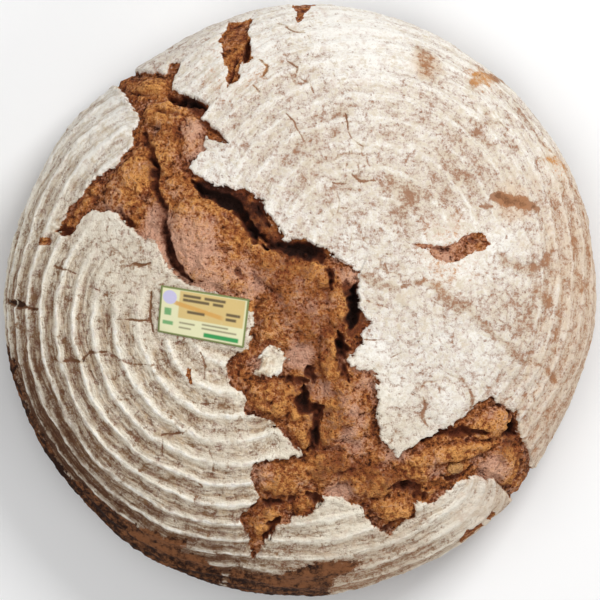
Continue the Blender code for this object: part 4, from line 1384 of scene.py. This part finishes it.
def make_label(material, shift):
    corners = skin_points(LABEL_CORNERS)
    across, down = np.meshgrid(np.linspace(0, 1, LABEL_COLUMNS + 1), np.linspace(0, 1, LABEL_ROWS + 1))
    across, down = across.ravel(), down.ravel()
    weights = ((1 - across) * (1 - down), across * (1 - down), across * down, (1 - across) * down)
    u, v = (sum(w * corner[axis] for w, corner in zip(weights, corners)) for axis in (0, 1))
    rise = label_rise(across, down)
    points = np.concatenate([on_loaf(u, v, rise + LABEL_THICKNESS), on_loaf(u, v, rise)])
    points = points * MM - np.array(shift)
    mesh = new_mesh("label_paper", points, sheet_faces(LABEL_COLUMNS, LABEL_ROWS))
    set_field(mesh, "across", np.tile(across, 2))
    set_field(mesh, "down", np.tile(down, 2))
    label = add_object("label_paper", mesh, material)
    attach(label, "root")
    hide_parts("label")


def make_walnut(material, shift):
    """A nut piece with the folds of a walnut half, sunk in the crumb."""
    shape = bmesh.new()
    bmesh.ops.create_icosphere(shape, subdivisions=5, radius=1.0)
    ball = np.array([vertex.co for vertex in shape.verts])
    folds = np.abs(noise(3.0 * ball[:, 0] + ball[:, 2], 3.0 * ball[:, 1] + 5.0, 1.0, 96))
    folds += 0.4 * np.abs(noise(7.0 * ball[:, 0], 7.0 * ball[:, 1] + 3.0 * ball[:, 2], 1.0, 97))
    local = ball * np.array(WALNUT_HALF_LENGTHS) - ball * WALNUT_FOLDS * (1.0 - folds[:, None])
    turn = np.array(Matrix.Rotation(WALNUT_TURN, 3, "Z"))
    at = skin_points((WALNUT_AT,))
    ground = crust_fields(at[:, 0], at[:, 1])["relief"]
    middle = on_loaf(at[:, 0], at[:, 1], ground + WALNUT_LIFT)[0]
    points = (local @ turn.T + middle) * MM - np.array(shift)
    for vertex, point in zip(shape.verts, points):
        vertex.co = point
    mesh = bpy.data.meshes.new("walnut_chunk")
    shape.to_mesh(mesh)
    shape.free()
    walnut = add_object("walnut_chunk", mesh, material)
    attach(walnut, "root")
    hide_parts("walnut_piece")


def make_floor():
    bpy.ops.mesh.primitive_circle_add(vertices=96, radius=FLOOR_RADIUS, fill_type="NGON")
    floor = bpy.context.object
    floor.name = "floor"
    floor.data.materials.append(floor_material())


def make_camera():
    data = bpy.data.cameras.new("camera")
    data.sensor_width = SENSOR
    data.lens = SENSOR * CAMERA_DISTANCE / FRAME_WIDTH
    data.clip_end = 4.0 * CAMERA_DISTANCE
    camera = linked("camera", data)
    camera.location = (0.0, 0.0, CAMERA_DISTANCE + WIDEST_AT * MM)
    bpy.context.scene.camera = camera


def add_lamp(name, direction, elevation, size, power):
    """A square lamp that faces the loaf."""
    data = bpy.data.lights.new(name, "AREA")
    data.size = size
    data.energy = power
    lamp = linked(name, data)
    a, e = math.radians(direction), math.radians(elevation)
    away = Vector((math.cos(e) * math.cos(a), math.cos(e) * math.sin(a), math.sin(e)))
    lamp.location = away * LAMP_DISTANCE
    lamp.rotation_euler = away.to_track_quat("Z", "Y").to_euler()


def make_light():
    world = bpy.data.worlds.new("studio")
    world.use_nodes = True
    background = world.node_tree.nodes["Background"]
    background.inputs["Color"].default_value = (1.0, 1.0, 1.0, 1.0)
    background.inputs["Strength"].default_value = DAYLIGHT
    bpy.context.scene.world = world
    for lamp in LAMPS:
        add_lamp(*lamp)
    bpy.context.scene.view_settings.view_transform = "Standard"


def main():
    make_camera()
    make_light()
    make_floor()
    shift = make_loaf(crust_material())
    make_label(label_material(), shift)
    make_walnut(walnut_material(), shift)
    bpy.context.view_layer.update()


main()
